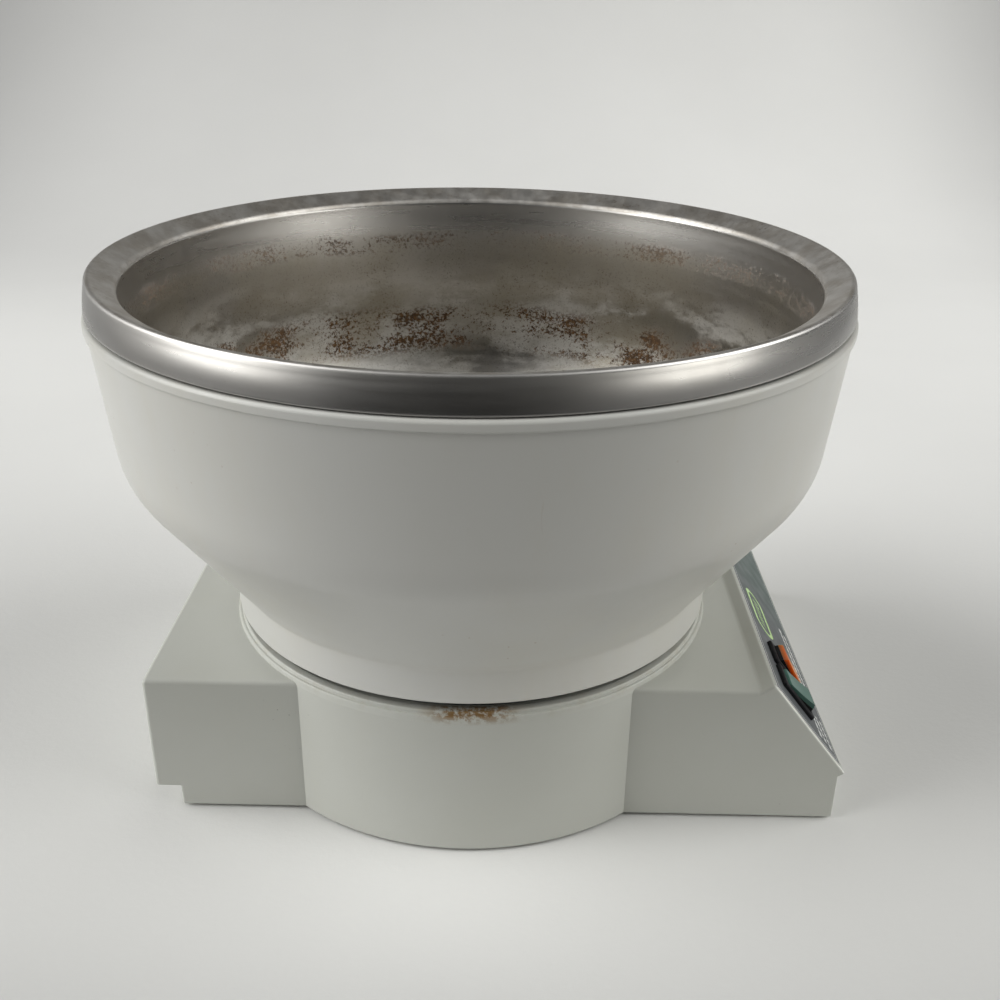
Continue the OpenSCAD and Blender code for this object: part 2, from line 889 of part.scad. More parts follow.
module rotor_core() {
    color("#7b7f83") union() {
        tube(rotor_r, shaft_r, core_z0, core_z1, 96);
        for (z = [core_z0 - 3, core_z1])
            tube(rotor_r - 1, rotor_r - 8, z, z + 3, 64);
    }
}

module motor_shaft() {
    color("#d4d6d7") turned([[0, shaft_z0], [shaft_r - 0.6, shaft_z0], [shaft_r, shaft_z0 + 0.6],
        [shaft_r, shaft_z1 - 0.6], [shaft_r - 0.6, shaft_z1], [0, shaft_z1]]);
}

// Half disc on a hub, heavy towards +X
module weight(z) {
    difference() {
        union() {
            intersection() {
                rod(weight_r, z, z + weight_t, 96);
                box([0, -weight_r, z - 1], [weight_r, weight_r, z + weight_t + 1]);
            }
            rod(10, z, z + weight_t);
        }
        rod(shaft_r, 0, far);
        weight_screw_hole(z, 1.6);
    }
}

module weight_screw_hole(z, r) {
    translate([0, 0, z + weight_t / 2])
        rotate([0, -90, 0])
            rod(r, shaft_r, 12);
}

module upper_weight() {
    color("#85898c") weight(upper_weight_z);
}

module lower_weight() {
    color("#85898c") weight(lower_weight_z);
}

module weight_screws() {
    color("#3b3d3f") for (z = [upper_weight_z, lower_weight_z])
        intersection() {
            weight_screw_hole(z, 1.55);
            rod(9.6, 0, far);
        }
}

module shaft_circlips() {
    color("#8f9294") for (z = [motor_top + 0.3, motor_z - 1.3])
        tube(shaft_r + 1.6, shaft_r, z, z + 1);
}

// ---- one line for each node ----

base_housing();
base_plate();
rubber_feet();
plate_screws();
label_plate();
switch_frames();
switch_tabs();
orange_rocker();
green_rocker();
rocker_pins();
mains_inlet();
inlet_pins();
inlet_screws();
terminal_block();
terminal_screws();
block_screws();
run_capacitor();
capacitor_clip();
clip_screws();
supply_leads();
motor_lead();
lead_grommet();
lower_spring_cups();
coil_springs();
upper_spring_cups();
drive_plate();
outer_bowl();
bowl_screws();
liner_ring();
steel_bowl();
motor_can();
motor_top_bell();
motor_bottom_bell();
stator_core();
stator_windings();
upper_bearing();
lower_bearing();
motor_standoffs();
motor_studs();
motor_nuts();
rotor_core();
motor_shaft();
upper_weight();
lower_weight();
weight_screws();
shaft_circlips();
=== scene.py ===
import math
import random

import bmesh
import bpy
from mathutils import Matrix, Vector


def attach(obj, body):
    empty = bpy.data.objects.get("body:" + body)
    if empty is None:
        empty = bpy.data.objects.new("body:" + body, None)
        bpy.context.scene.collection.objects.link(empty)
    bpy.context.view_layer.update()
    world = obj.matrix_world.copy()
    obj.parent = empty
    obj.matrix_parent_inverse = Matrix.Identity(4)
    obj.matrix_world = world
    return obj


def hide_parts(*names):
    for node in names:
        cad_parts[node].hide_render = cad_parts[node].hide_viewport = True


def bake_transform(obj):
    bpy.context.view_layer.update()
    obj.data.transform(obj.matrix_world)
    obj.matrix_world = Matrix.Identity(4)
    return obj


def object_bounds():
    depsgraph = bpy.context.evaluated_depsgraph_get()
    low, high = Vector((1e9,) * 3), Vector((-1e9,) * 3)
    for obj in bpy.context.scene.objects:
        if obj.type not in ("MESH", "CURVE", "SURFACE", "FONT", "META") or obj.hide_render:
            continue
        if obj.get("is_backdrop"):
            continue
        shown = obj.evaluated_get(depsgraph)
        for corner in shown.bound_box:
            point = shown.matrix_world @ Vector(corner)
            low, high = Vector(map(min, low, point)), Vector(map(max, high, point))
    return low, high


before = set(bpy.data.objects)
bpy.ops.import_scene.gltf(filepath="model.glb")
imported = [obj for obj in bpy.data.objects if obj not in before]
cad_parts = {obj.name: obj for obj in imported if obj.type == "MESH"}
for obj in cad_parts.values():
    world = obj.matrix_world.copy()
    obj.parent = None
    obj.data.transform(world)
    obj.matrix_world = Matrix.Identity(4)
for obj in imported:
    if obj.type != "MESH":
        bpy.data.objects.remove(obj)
cad_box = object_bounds()
MM = 0.001
SAME_POINT = 1e-6
ROUND = 320  # sides of everything large and round


# ---------------------------------------------------------------- profiles

def corner(a, b, c, r, steps):
    """Points that round the corner at b, between a and c."""
    a, b, c = Vector(a), Vector(b), Vector(c)
    u, v = (a - b).normalized(), (c - b).normalized()
    half = math.acos(max(-1, min(1, u.dot(v)))) / 2
    reach = min(r / math.tan(half), 0.49 * (a - b).length, 0.49 * (c - b).length)
    r = reach * math.tan(half)
    centre = b + (u + v).normalized() * (r / math.sin(half))
    p, q = b + u * reach - centre, b + v * reach - centre
    side = 1 if p.x * q.y - p.y * q.x > 0 else -1
    sweep = side * (math.pi - 2 * half)
    out = []
    for i in range(steps + 1):
        t = sweep * i / steps
        out.append((centre.x + p.x * math.cos(t) - p.y * math.sin(t),
                    centre.y + p.x * math.sin(t) + p.y * math.cos(t)))
    return out


def rounded(path, closed=True, steps=10):
    """An outline of (x, y, corner radius) as plain points."""
    out = []
    n = len(path)
    for i, p in enumerate(path):
        if p[2] > 0 and (closed or 0 < i < n - 1):
            a, c = path[i - 1], path[(i + 1) % n]
            out += corner(a[:2], p[:2], c[:2], p[2], steps)
        else:
            out.append((p[0], p[1]))
    return out


def arc(centre, r, a0, a1, steps):
    """Points on a circle from angle a0 to a1, in degrees."""
    return [(centre[0] + r * math.cos(math.radians(a0 + (a1 - a0) * i / steps)),
             centre[1] + r * math.sin(math.radians(a0 + (a1 - a0) * i / steps)))
            for i in range(steps + 1)]


# ---------------------------------------------------------------- meshes

def mesh_object(name, verts, faces):
    """A mesh from points in millimetres."""
    me = bpy.data.meshes.new(name)
    me.from_pydata([(x * MM, y * MM, z * MM) for x, y, z in verts], [], faces)
    me.validate()
    ob = bpy.data.objects.new(name, me)
    bpy.context.scene.collection.objects.link(ob)
    return ob


def outward(ob):
    """Merges points that coincide and turns every face outward."""
    bm = bmesh.new()
    bm.from_mesh(ob.data)
    bmesh.ops.remove_doubles(bm, verts=bm.verts, dist=SAME_POINT)
    bmesh.ops.recalc_face_normals(bm, faces=bm.faces)
    bm.to_mesh(ob.data)
    bm.free()
    return ob


def smooth(ob, angle):
    """Smooth shading, with sharp edges above angle in degrees."""
    me = ob.data
    me.polygons.foreach_set("use_smooth", [True] * len(me.polygons))
    me.set_sharp_from_angle(angle=math.radians(angle))
    me.update()
    return ob


def lathe(name, profile, sides=ROUND):
    """A closed profile of (radius, height) turned about Z."""
    verts, faces, rings = [], [], []
    for r, z in profile:
        if r < SAME_POINT:
            rings.append([len(verts)])
            verts.append((0, 0, z))
        else:
            rings.append(list(range(len(verts), len(verts) + sides)))
            for k in range(sides):
                a = 2 * math.pi * k / sides
                verts.append((r * math.cos(a), r * math.sin(a), z))
    for i, a in enumerate(rings):
        b = rings[(i + 1) % len(rings)]
        if len(a) == 1 and len(b) == 1:
            continue
        for k in range(sides):
            k2 = (k + 1) % sides
            if len(a) == 1:
                faces.append((a[0], b[k2], b[k]))
            elif len(b) == 1:
                faces.append((a[k], a[k2], b[0]))
            else:
                faces.append((a[k], a[k2], b[k2], b[k]))
    return outward(mesh_object(name, verts, faces))


def prism_y(name, outline, y0, y1):
    """An outline in X and Z pushed along Y."""
    n = len(outline)
    verts = [(x, y0, z) for x, z in outline] + [(x, y1, z) for x, z in outline]
    faces = [tuple(range(n)), tuple(range(2 * n - 1, n - 1, -1))]
    faces += [(i, (i + 1) % n, n + (i + 1) % n, n + i) for i in range(n)]
    return outward(mesh_object(name, verts, faces))


def block(name, low, high):
    """A box between two corners."""
    x0, y0, z0 = low
    x1, y1, z1 = high
    return prism_y(name, [(x0, z0), (x1, z0), (x1, z1), (x0, z1)], y0, y1)


def bevel_weights(ob, rule):
    """Sets each edge's bevel weight from rule(start, end), points in millimetres."""
    me = ob.data
    weight = me.attributes.new("bevel_weight_edge", "FLOAT", "EDGE")
    for e in me.edges:
        a, b = (me.vertices[v].co / MM for v in e.vertices)
        weight.data[e.index].value = rule(a, b)


def add_bevel(ob, width, segments):
    """A bevel as wide as each edge's weight times width."""
    m = ob.modifiers.new("bevel", "BEVEL")
    m.width = width * MM
    m.segments = segments
    m.limit_method = "WEIGHT"


def add_boolean(ob, cutter, operation):
    m = ob.modifiers.new("boolean", "BOOLEAN")
    m.operation = operation
    m.solver = "EXACT"
    m.object = cutter


def apply_modifiers(ob):
    graph = bpy.context.evaluated_depsgraph_get()
    me = bpy.data.meshes.new_from_object(ob.evaluated_get(graph))
    ob.modifiers.clear()
    ob.data = me


def bake_modifiers(ob, *cutters, angle=30):
    """Applies ob's modifiers, weights its normals by face area and removes the cutters."""
    bpy.context.view_layer.update()
    apply_modifiers(ob)
    smooth(ob, angle)
    w = ob.modifiers.new("weighted", "WEIGHTED_NORMAL")
    w.keep_sharp = True
    w.weight = 100
    apply_modifiers(ob)
    for c in cutters:
        bpy.data.objects.remove(c)


def joined(name, parts):
    """One object from several, keeping their materials' order by index."""
    bm = bmesh.new()
    for p in parts:
        me = p.data.copy()
        me.transform(p.matrix_world)
        bm.from_mesh(me)
        bpy.data.meshes.remove(me)
    me = bpy.data.meshes.new(name)
    bm.to_mesh(me)
    bm.free()
    for p in parts:
        bpy.data.objects.remove(p)
    ob = bpy.data.objects.new(name, me)
    bpy.context.scene.collection.objects.link(ob)
    return ob


def finish_piece(ob, body, materials, replaces=()):
    """Gives a piece its materials and body, and hides the CAD nodes that it replaces."""
    for m in materials:
        ob.data.materials.append(m)
    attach(ob, body)
    if replaces:
        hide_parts(*replaces)


# ---------------------------------------------------------------- materials

def dimmed(colour, share):
    return tuple(c * share for c in colour)


class Look:
    """A Principled material built node by node, in the row frame's metres."""

    def __init__(self, name, **constants):
        self.m = bpy.data.materials.new(name)
        self.m.use_nodes = True
        self.t = self.m.node_tree
        self.t.nodes.clear()
        self.bsdf = self.t.nodes.new("ShaderNodeBsdfPrincipled")
        out = self.t.nodes.new("ShaderNodeOutputMaterial")
        self.link(self.bsdf.outputs[0], out.inputs["Surface"])
        self.coord = self.t.nodes.new("ShaderNodeTexCoord").outputs["Object"]
        for key, value in constants.items():
            self.bsdf.inputs[key.replace("_", " ")].default_value = value

    def link(self, a, b):
        self.t.links.new(a, b)

    def put(self, socket, value):
        """Links a socket to value, or sets it; a colour of three numbers gets its alpha."""
        if isinstance(value, bpy.types.NodeSocket):
            self.link(value, socket)
            return
        size = len(socket.default_value) if hasattr(socket.default_value, "__len__") else 1
        socket.default_value = (*value, 1) if size == 4 and len(value) == 3 else value

    def node(self, kind, inputs=None, **props):
        n = self.t.nodes.new(kind)
        for key, value in props.items():
            setattr(n, key, value)
        for key, value in (inputs or {}).items():
            self.put(n.inputs[key], value)
        return n

    def scaled(self, *scale):
        """The piece's own coordinates, scaled by a factor for each axis."""
        n = self.node("ShaderNodeVectorMath", {0: self.coord, 1: scale}, operation="MULTIPLY")
        return n.outputs[0]

    def noise(self, scale, detail=4, rough=0.5, vector=None, distortion=0.0):
        n = self.node("ShaderNodeTexNoise", {
            "Vector": vector or self.coord, "Scale": scale, "Detail": detail, "Roughness": rough,
            "Distortion": distortion})
        return n.outputs["Fac"]

    def cells(self, scale):
        """Distance to the nearest of many scattered points."""
        n = self.node("ShaderNodeTexVoronoi", {"Vector": self.coord, "Scale": scale})
        return n.outputs["Distance"]

    def math(self, operation, a, b=None, c=None, clamp=False):
        n = self.node("ShaderNodeMath", operation=operation, use_clamp=clamp)
        for i, v in enumerate((a, b, c)):
            if v is not None:
                self.put(n.inputs[i], v)
        return n.outputs[0]

    def times(self, a, b):
        return self.math("MULTIPLY", a, b)

    def ramp(self, value, low, high, a=0.0, b=1.0):
        """Goes smoothly from a to b as value goes from low to high."""
        n = self.node("ShaderNodeMapRange", {
            "Value": value, "From Min": low, "From Max": high, "To Min": a, "To Max": b},
            interpolation_type="SMOOTHSTEP")
        return n.outputs["Result"]

    def band(self, value, low, high, edge):
        """1 between low and high, 0 outside, with soft edges."""
        return self.times(self.ramp(value, low - edge, low + edge),
                          self.ramp(value, high - edge, high + edge, 1.0, 0.0))

    def mix(self, factor, a, b):
        """The colour a where factor is 0, and b where it is 1."""
        n = self.node("ShaderNodeMix", data_type="RGBA")
        self.put(n.inputs[0], factor)
        self.put(n.inputs[6], a)
        self.put(n.inputs[7], b)
        return n.outputs[2]

    def split(self):
        n = self.node("ShaderNodeSeparateXYZ", {0: self.coord})
        return n.outputs[0], n.outputs[1], n.outputs[2]

    def radius(self):
        """Distance from the bowls' upright axis."""
        x, y, _ = self.split()
        return self.math("SQRT", self.math("ADD", self.times(x, x), self.times(y, y)))

    def bump(self, height, strength, distance, base=None):
        n = self.node("ShaderNodeBump", {"Height": height, "Strength": strength, "Distance": distance})
        if base is not None:
            self.link(base, n.inputs["Normal"])
        return n.outputs[0]

    def set(self, **values):
        for key, value in values.items():
            self.put(self.bsdf.inputs[key.replace("_", " ")], value)


def plastic(name, colour, rough, grain=900, grain_depth=0.00003, coat=0.0, dirt=None, dirt_amount=0.15,
            ior=1.49):
    """Moulded plastic with a fine grain, slow clouds and, if asked, specks and smears of dirt."""
    k = Look(name, Metallic=0.0, Coat_Weight=coat, Coat_Roughness=0.25, IOR=ior)
    cloud = k.noise(18, 5, 0.6)
    fine = k.noise(260, 3, 0.55)
    col = k.mix(k.ramp(cloud, 0.3, 0.7), colour, dimmed(colour, 0.89))
    col = k.mix(k.times(fine, 0.12), col, dimmed(colour, 0.82))
    if dirt:
        specks = k.ramp(k.noise(1400, 2, 0.5), 0.69, 0.76)
        smears = k.ramp(k.noise(34, 6, 0.65, distortion=0.6), 0.56, 0.8)
        amount = k.times(k.math("MAXIMUM", specks, smears), dirt_amount)
        col = k.mix(amount, col, dirt)
    k.set(Base_Color=col, Roughness=k.ramp(k.noise(70, 4), 0.2, 0.8, rough - 0.05, rough + 0.07))
    k.set(Normal=k.bump(k.noise(grain, 3, 0.6), 0.5, grain_depth))
    return k.m


def metal(name, colour, rough, streak=(60, 60, 4000), depth=0.00002):
    """Plated or cast metal with tool lines, which lie across the axis with the largest streak."""
    k = Look(name, Metallic=1.0)
    lines = k.noise(1.0, 3, 0.6, vector=k.scaled(*streak))
    cloud = k.noise(45, 5, 0.6)
    col = k.mix(k.times(k.ramp(cloud, 0.35, 0.75), 0.25), colour, dimmed(colour, 0.6))
    col = k.mix(k.times(lines, 0.25), col, dimmed(colour, 0.8))
    uneven = k.math("ADD", lines, k.times(cloud, 0.5))
    k.set(Base_Color=col, Roughness=k.ramp(uneven, 0.4, 1.1, rough - 0.08, rough + 0.14))
    k.set(Normal=k.bump(lines, 0.35, depth))
    return k.m


def rubber(name, colour):
    """Matt rubber with a little dust."""
    k = Look(name, Metallic=0.0, IOR=1.45)
    fine = k.noise(1100, 3, 0.6)
    dust = k.ramp(k.noise(60, 5, 0.6), 0.5, 0.8, 0.0, 0.25)
    k.set(Base_Color=k.mix(dust, colour, tuple(0.12 + c for c in colour)),
          Roughness=k.ramp(fine, 0.2, 0.8, 0.62, 0.85), Normal=k.bump(fine, 0.5, 0.00005))
    return k.m


def bowl_plastic():
    """The outer bowl: pale grey, a little yellowed, with scuffs and splashes, and painted shade in its
    crease.
    """
    k = Look("bowl_plastic", Metallic=0.0, Coat_Weight=0.15, Coat_Roughness=0.3, IOR=1.5)
    _, _, z = k.split()
    clean = (0.61, 0.61, 0.582)
    # faint yellowing in slow clouds and drips
    cloud = k.noise(1.0, 5, 0.6, vector=k.scaled(11, 11, 5))
    drips = k.noise(1.0, 4, 0.6, vector=k.scaled(60, 60, 4))
    stain = k.times(k.ramp(cloud, 0.42, 0.72), k.ramp(drips, 0.35, 0.7, 0.5, 1.0))
    col = k.mix(k.times(stain, 0.30), clean, (0.58, 0.54, 0.42))
    # thin handling scuffs
    scuff = k.ramp(k.noise(1.0, 3, 0.7, vector=k.scaled(300, 300, 38), distortion=1.2), 0.66, 0.74)
    scuff = k.times(scuff, k.ramp(k.noise(9, 3), 0.52, 0.7))
    col = k.mix(k.times(scuff, 0.35), col, (0.50, 0.46, 0.40))
    # brown dots and splashes
    dots = k.ramp(k.cells(170), 0.10, 0.045)
    dots = k.times(dots, k.ramp(k.noise(14, 4), 0.58, 0.72))
    col = k.mix(k.times(dots, 0.75), col, (0.30, 0.20, 0.11))
    # painted shade in the crease over the skirt
    crease_shade = k.band(z, 0.0905, 0.0945, 0.0025)
    col = k.mix(k.times(crease_shade, 0.10), col, (0.45, 0.43, 0.36))
    k.set(Base_Color=col, Roughness=k.ramp(k.noise(30, 5), 0.25, 0.75, 0.30, 0.44))
    ripple = k.noise(1.0, 3, 0.5, vector=k.scaled(14, 14, 9))
    fine = k.noise(700, 3, 0.6)
    k.set(Normal=k.bump(fine, 0.35, 0.00003, base=k.bump(ripple, 0.25, 0.0006)))
    return k.m


def base_plastic():
    """The base: duller than the bowl, with drips, dark specks, grime and painted shade round the collar,
    and a painted highlight along one edge.
    """
    k = Look("base_plastic", Metallic=0.0, IOR=1.5, Coat_Weight=0.08, Coat_Roughness=0.35)
    x, y, z = k.split()
    clean = (0.525, 0.533, 0.495)
    cloud = k.noise(7, 5, 0.6)
    col = k.mix(k.ramp(cloud, 0.35, 0.7), clean, (0.505, 0.512, 0.468))
    # dull patches and drips down the walls
    drips = k.ramp(k.noise(1.0, 5, 0.6, vector=k.scaled(70, 70, 6)), 0.5, 0.75)
    col = k.mix(k.times(drips, 0.12), col, (0.52, 0.51, 0.45))
    # dark specks
    specks = k.ramp(k.cells(240), 0.075, 0.03)
    specks = k.times(specks, k.ramp(k.noise(20, 4), 0.60, 0.70))
    col = k.mix(k.times(specks, 0.8), col, (0.09, 0.08, 0.06))
    # grime and painted shade on the collar under the bowl's skirt, brown rust stain at the very front
    r = k.radius()
    collar_grime_and_shade = k.times(k.band(r, 0.1070, 0.1148, 0.0012), k.ramp(z, 0.0660, 0.0690))
    broken = k.ramp(k.noise(160, 5, 0.7), 0.42, 0.68)
    col = k.mix(k.times(k.times(collar_grime_and_shade, broken), 0.30), col, (0.40, 0.36, 0.27))
    front = k.times(k.band(x, -0.012, 0.020, 0.008), k.ramp(y, -0.100, -0.106))
    rust = k.times(k.times(collar_grime_and_shade, front), k.ramp(k.noise(300, 5, 0.7), 0.40, 0.55))
    col = k.mix(rust, col, (0.22, 0.13, 0.05))
    # painted highlight: a near-white line along the rounded edge of the moulding in front of the label
    edge = k.times(k.band(y, -0.0891, -0.0880, 0.0002), k.ramp(x, 0.1325, 0.1345))
    col = k.mix(edge, col, (0.86, 0.87, 0.83))
    k.set(Base_Color=col, Roughness=k.ramp(k.noise(45, 5), 0.25, 0.75, 0.38, 0.52))
    fine = k.noise(1300, 3, 0.6)
    slow = k.noise(16, 3, 0.5)
    k.set(Normal=k.bump(fine, 0.5, 0.00004, base=k.bump(slow, 0.2, 0.0005)))
    return k.m


def spun_steel(zone):
    """Spun stainless steel. The rim's top is worn dull; inside it is hazed and carries rust in rings."""
    k = Look("spun_steel_" + zone, Metallic=1.0, Anisotropic=0.3 if zone == "top" else 0.75)
    tangent = k.node("ShaderNodeTangent", direction_type="RADIAL", axis="Z")
    k.link(tangent.outputs[0], k.bsdf.inputs["Tangent"])
    x, y, z = k.split()
    r = k.radius()
    # the spinning's fine rings: slow along the turn, quick across it, on walls and floor alike
    turned = k.node("ShaderNodeCombineXYZ", {
        0: k.times(x, 9.0), 1: k.times(y, 9.0), 2: k.times(k.math("ADD", z, r), 170.0)}).outputs[0]
    rings = k.noise(1.0, 4, 0.6, vector=turned)
    cloud = k.noise(16, 6, 0.62)
    grain = k.noise(1500, 3, 0.6)
    steel = k.mix(k.ramp(cloud, 0.3, 0.75), (0.54, 0.53, 0.515), (0.46, 0.447, 0.428))
    steel = k.mix(k.times(rings, 0.15), steel, (0.33, 0.32, 0.305))
    rough = k.ramp(k.math("ADD", rings, k.times(cloud, 0.6)), 0.5, 1.2, 0.25, 0.34)
    if zone == "band":
        # small dings and water marks
        marks = k.ramp(k.noise(150, 5, 0.65), 0.60, 0.72)
        steel = k.mix(k.times(marks, 0.12), steel, (0.30, 0.27, 0.22))
        k.set(Base_Color=steel, Roughness=rough, Normal=k.bump(grain, 0.10, 0.00001))
        return k.m
    if zone == "top":
        # a dull, blotchy film with fine brown specks
        blotch = k.ramp(k.noise(70, 6, 0.7), 0.35, 0.65)
        dull = k.mix(blotch, (0.50, 0.485, 0.46), (0.37, 0.345, 0.31))
        specks = k.times(k.ramp(k.noise(520, 5, 0.75), 0.56, 0.66),
                         k.ramp(k.noise(34, 4), 0.42, 0.62))
        dull = k.mix(k.times(specks, 0.5), dull, (0.16, 0.125, 0.085))
        k.set(Base_Color=dull, Roughness=k.ramp(k.noise(120, 5, 0.7), 0.3, 0.7, 0.40, 0.54))
        k.set(Normal=k.bump(grain, 0.2, 0.00002))
        return k.m
    # brown haze below the neck, pale scale lower down
    below = k.ramp(z, 0.2200, 0.2080)
    haze = k.times(below, k.ramp(k.noise(22, 6, 0.65), 0.30, 0.70, 0.25, 0.75))
    col = k.mix(haze, steel, (0.36, 0.325, 0.255))
    patch = k.noise(1.0, 5, 0.65, vector=k.scaled(30, 30, 60))
    scale = k.ramp(k.noise(1.0, 6, 0.72, vector=k.scaled(20, 20, 44)), 0.45, 0.60)
    scale = k.times(scale, k.ramp(z, 0.205, 0.172))
    col = k.mix(k.times(scale, 0.70), col, (0.62, 0.605, 0.57))
    # fine dark pits all over the hazed part
    pits = k.ramp(k.noise(900, 5, 0.75), 0.54, 0.66)
    pits = k.times(pits, k.times(below, k.ramp(k.noise(45, 4), 0.35, 0.65, 0.25, 0.8)))
    col = k.mix(pits, col, (0.125, 0.105, 0.075))
    # rust in fine flakes: a thin broken band under the neck, a wide one lower, a few between
    flakes = k.noise(1.0, 6, 0.80, vector=k.scaled(560, 560, 640))
    wave = k.math("MULTIPLY_ADD", k.noise(9, 3), 0.016, z)
    upper = k.times(k.band(wave, 0.2150, 0.2245, 0.0020),
                   k.ramp(k.math("MULTIPLY_ADD", patch, 0.5, flakes), 0.76, 0.84))
    lower = k.times(k.band(wave, 0.1570, 0.1815, 0.0040),
                   k.ramp(k.math("MULTIPLY_ADD", patch, 0.8, flakes), 0.89, 0.96))
    stray = k.times(k.ramp(flakes, 0.60, 0.66), k.times(below, 0.55))
    rust = k.math("MAXIMUM", k.math("MAXIMUM", k.times(upper, 0.8), lower), stray)
    colour = k.mix(k.ramp(k.noise(620, 4, 0.7), 0.40, 0.62), (0.055, 0.030, 0.014), (0.155, 0.080, 0.030))
    col = k.mix(rust, col, colour)
    metallic = k.math("SUBTRACT", 1.0, k.math("MAXIMUM", rust, k.times(scale, 0.45)), clamp=True)
    rough = k.math("MULTIPLY_ADD", haze, 0.16, rough)
    rough = k.math("MULTIPLY_ADD", scale, 0.12, rough)
    rough = k.math("MAXIMUM", rough, k.times(rust, 0.85))
    k.set(Base_Color=col, Metallic=metallic, Roughness=rough)
    k.set(Normal=k.bump(rust, 0.25, 0.00010, base=k.bump(grain, 0.15, 0.00002)))
    return k.m


def film(name, colour, tint):
    """The label's dark print under a thin clear film, with a tint that grows towards the rear."""
    k = Look(name, Metallic=0.0, IOR=1.33)
    _, y, _ = k.split()
    grain = k.noise(1800, 2, 0.5)
    wear = k.ramp(k.noise(1.0, 5, 0.7, vector=k.scaled(90, 25, 90), distortion=0.8), 0.60, 0.72)
    col = k.mix(k.times(k.ramp(y, -0.02, 0.07), 0.5), colour, tint)
    col = k.mix(k.times(grain, 0.25), col, dimmed(colour, 1.5))
    col = k.mix(k.times(wear, 0.10), col, (0.35, 0.35, 0.34))
    k.set(Base_Color=col, Roughness=k.ramp(k.noise(80, 4), 0.3, 0.7, 0.42, 0.55))
    k.set(Normal=k.bump(grain, 0.3, 0.00002))
    return k.m


def ink(name, colour):
    """Printing ink, thin in places."""
    k = Look(name, Metallic=0.0, IOR=1.5, Coat_Weight=0.4, Coat_Roughness=0.2)
    worn = k.ramp(k.noise(900, 3, 0.7), 0.62, 0.72)
    k.set(Base_Color=k.mix(k.times(worn, 0.5), colour, dimmed(colour, 0.5)),
          Roughness=k.ramp(k.noise(300, 3), 0.3, 0.7, 0.35, 0.5))
    k.set(Normal=k.bump(k.noise(1200, 2), 0.3, 0.00002))
    return k.m


def laminated(name, colour):
    """A stack of thin punched sheets."""
    sheet = 0.0005
    k = Look(name, Metallic=1.0)
    _, _, z = k.split()
    line = k.ramp(k.math("PINGPONG", z, sheet), 0.0, sheet * 0.4)
    col = k.mix(line, dimmed(colour, 0.45), colour)
    col = k.mix(k.times(k.noise(120, 4), 0.4), col, dimmed(colour, 0.7))
    k.set(Base_Color=col, Roughness=k.ramp(k.noise(200, 3), 0.3, 0.7, 0.42, 0.6))
    k.set(Normal=k.bump(line, 0.5, 0.0001))
    return k.m


def windings(name):
    """Enamelled copper wire in even turns."""
    wire_r = 0.0004
    k = Look(name, Metallic=0.85)
    _, _, z = k.split()
    wires = k.math("PINGPONG", k.math("ADD", z, k.times(k.radius(), 0.6)), wire_r)
    # painted shade: each turn is painted dark where it meets the next and light along its crest; the same
    # profile gives the bump
    wire_profile_shade = k.ramp(wires, 0.0, wire_r)
    col = k.mix(wire_profile_shade, (0.20, 0.06, 0.02), (0.62, 0.24, 0.09))
    col = k.mix(k.times(k.ramp(k.noise(70, 4), 0.45, 0.7), 0.4), col, (0.30, 0.16, 0.06))
    k.set(Base_Color=col, Roughness=k.ramp(k.noise(160, 3), 0.3, 0.7, 0.28, 0.42))
    k.set(Normal=k.bump(wire_profile_shade, 0.7, 0.0002))
    return k.m


# ---------------------------------------------------------------- sizes, in millimetres

FOOT_GAP, WING_TOP, WALL = 1.2, 68.2, 3.0
DRUM_R, WELL_R, COLLAR_TOP = 115.0, 106.0, 71.7
LEFT_X, FRONT_Y, REAR_Y = -140.0, -89.5, 125.0
NOTCH_X, NOTCH_H = -128.6, 11.4
RISER_X, PANEL_X, PANEL_Z = 128.0, 133.2, 71.8
TILT, PANEL_LEN = math.radians(51.8), 58.4
DIR = Vector((math.cos(TILT), -math.sin(TILT)))
OUT = Vector((math.sin(TILT), math.cos(TILT)))
TIP = Vector((PANEL_X, PANEL_Z)) + DIR * PANEL_LEN
END_X = TIP.x - 2.6
END_Z = TIP.y - 1.4
SWITCH_S, SWITCH_REAR, SWITCH_FRONT = 23.0, -48.5, -68.0
SWITCH_L, SWITCH_W, SWITCH_LAP = 24.0, 17.0, 0.8
LABEL_T = 0.4
INLET_X, INLET_Z = (-106.0, -78.0), (26.5, 47.5)
BEYOND = 1.0  # how far a cutter reaches past what it cuts
STEEL_LEAN, RIM_Z = math.radians(0.9), 222.0

# X runs down the slope, Z out of it, and Y stays as it is
PANEL = Matrix((
    (DIR.x, 0, OUT.x, PANEL_X * MM),
    (0, 1, 0, 0),
    (DIR.y, 0, OUT.y, PANEL_Z * MM),
    (0, 0, 0, 1)))


def place(ob, matrix):
    ob.data.transform(matrix)
    return ob


def on_panel(ob, s, y):
    """Puts a mesh made at the origin on the sloped panel, s down the slope."""
    return place(ob, PANEL @ Matrix.Translation((s * MM, y * MM, 0)))


# ---------------------------------------------------------------- base housing

def housing_edge(a, b):
    """How much the edge from a to b is rounded, as a share of the widest bevel."""
    mid = (a + b) / 2
    if abs(a.y - b.y) > 1:
        # edges that run from front to rear
        if abs(mid.x - LEFT_X) < 0.1 and mid.z > 50:
            return 1.0
        if abs(mid.x - TIP.x) < 0.1 or (abs(mid.x - END_X) < 0.1 and mid.z > 10):
            return 0.2
        return 0.45 if abs(mid.x - PANEL_X) < 0.1 else 0.4
    # the outlines of the front and rear faces
    if mid.x > END_X - 0.5 and 10 < mid.z < 30 and abs(a.z - b.z) < 3:
        return 0.2
    if mid.x > RISER_X and mid.z > 26:
        return 0.45
    return 0.85 if mid.z > 30 else 0.5


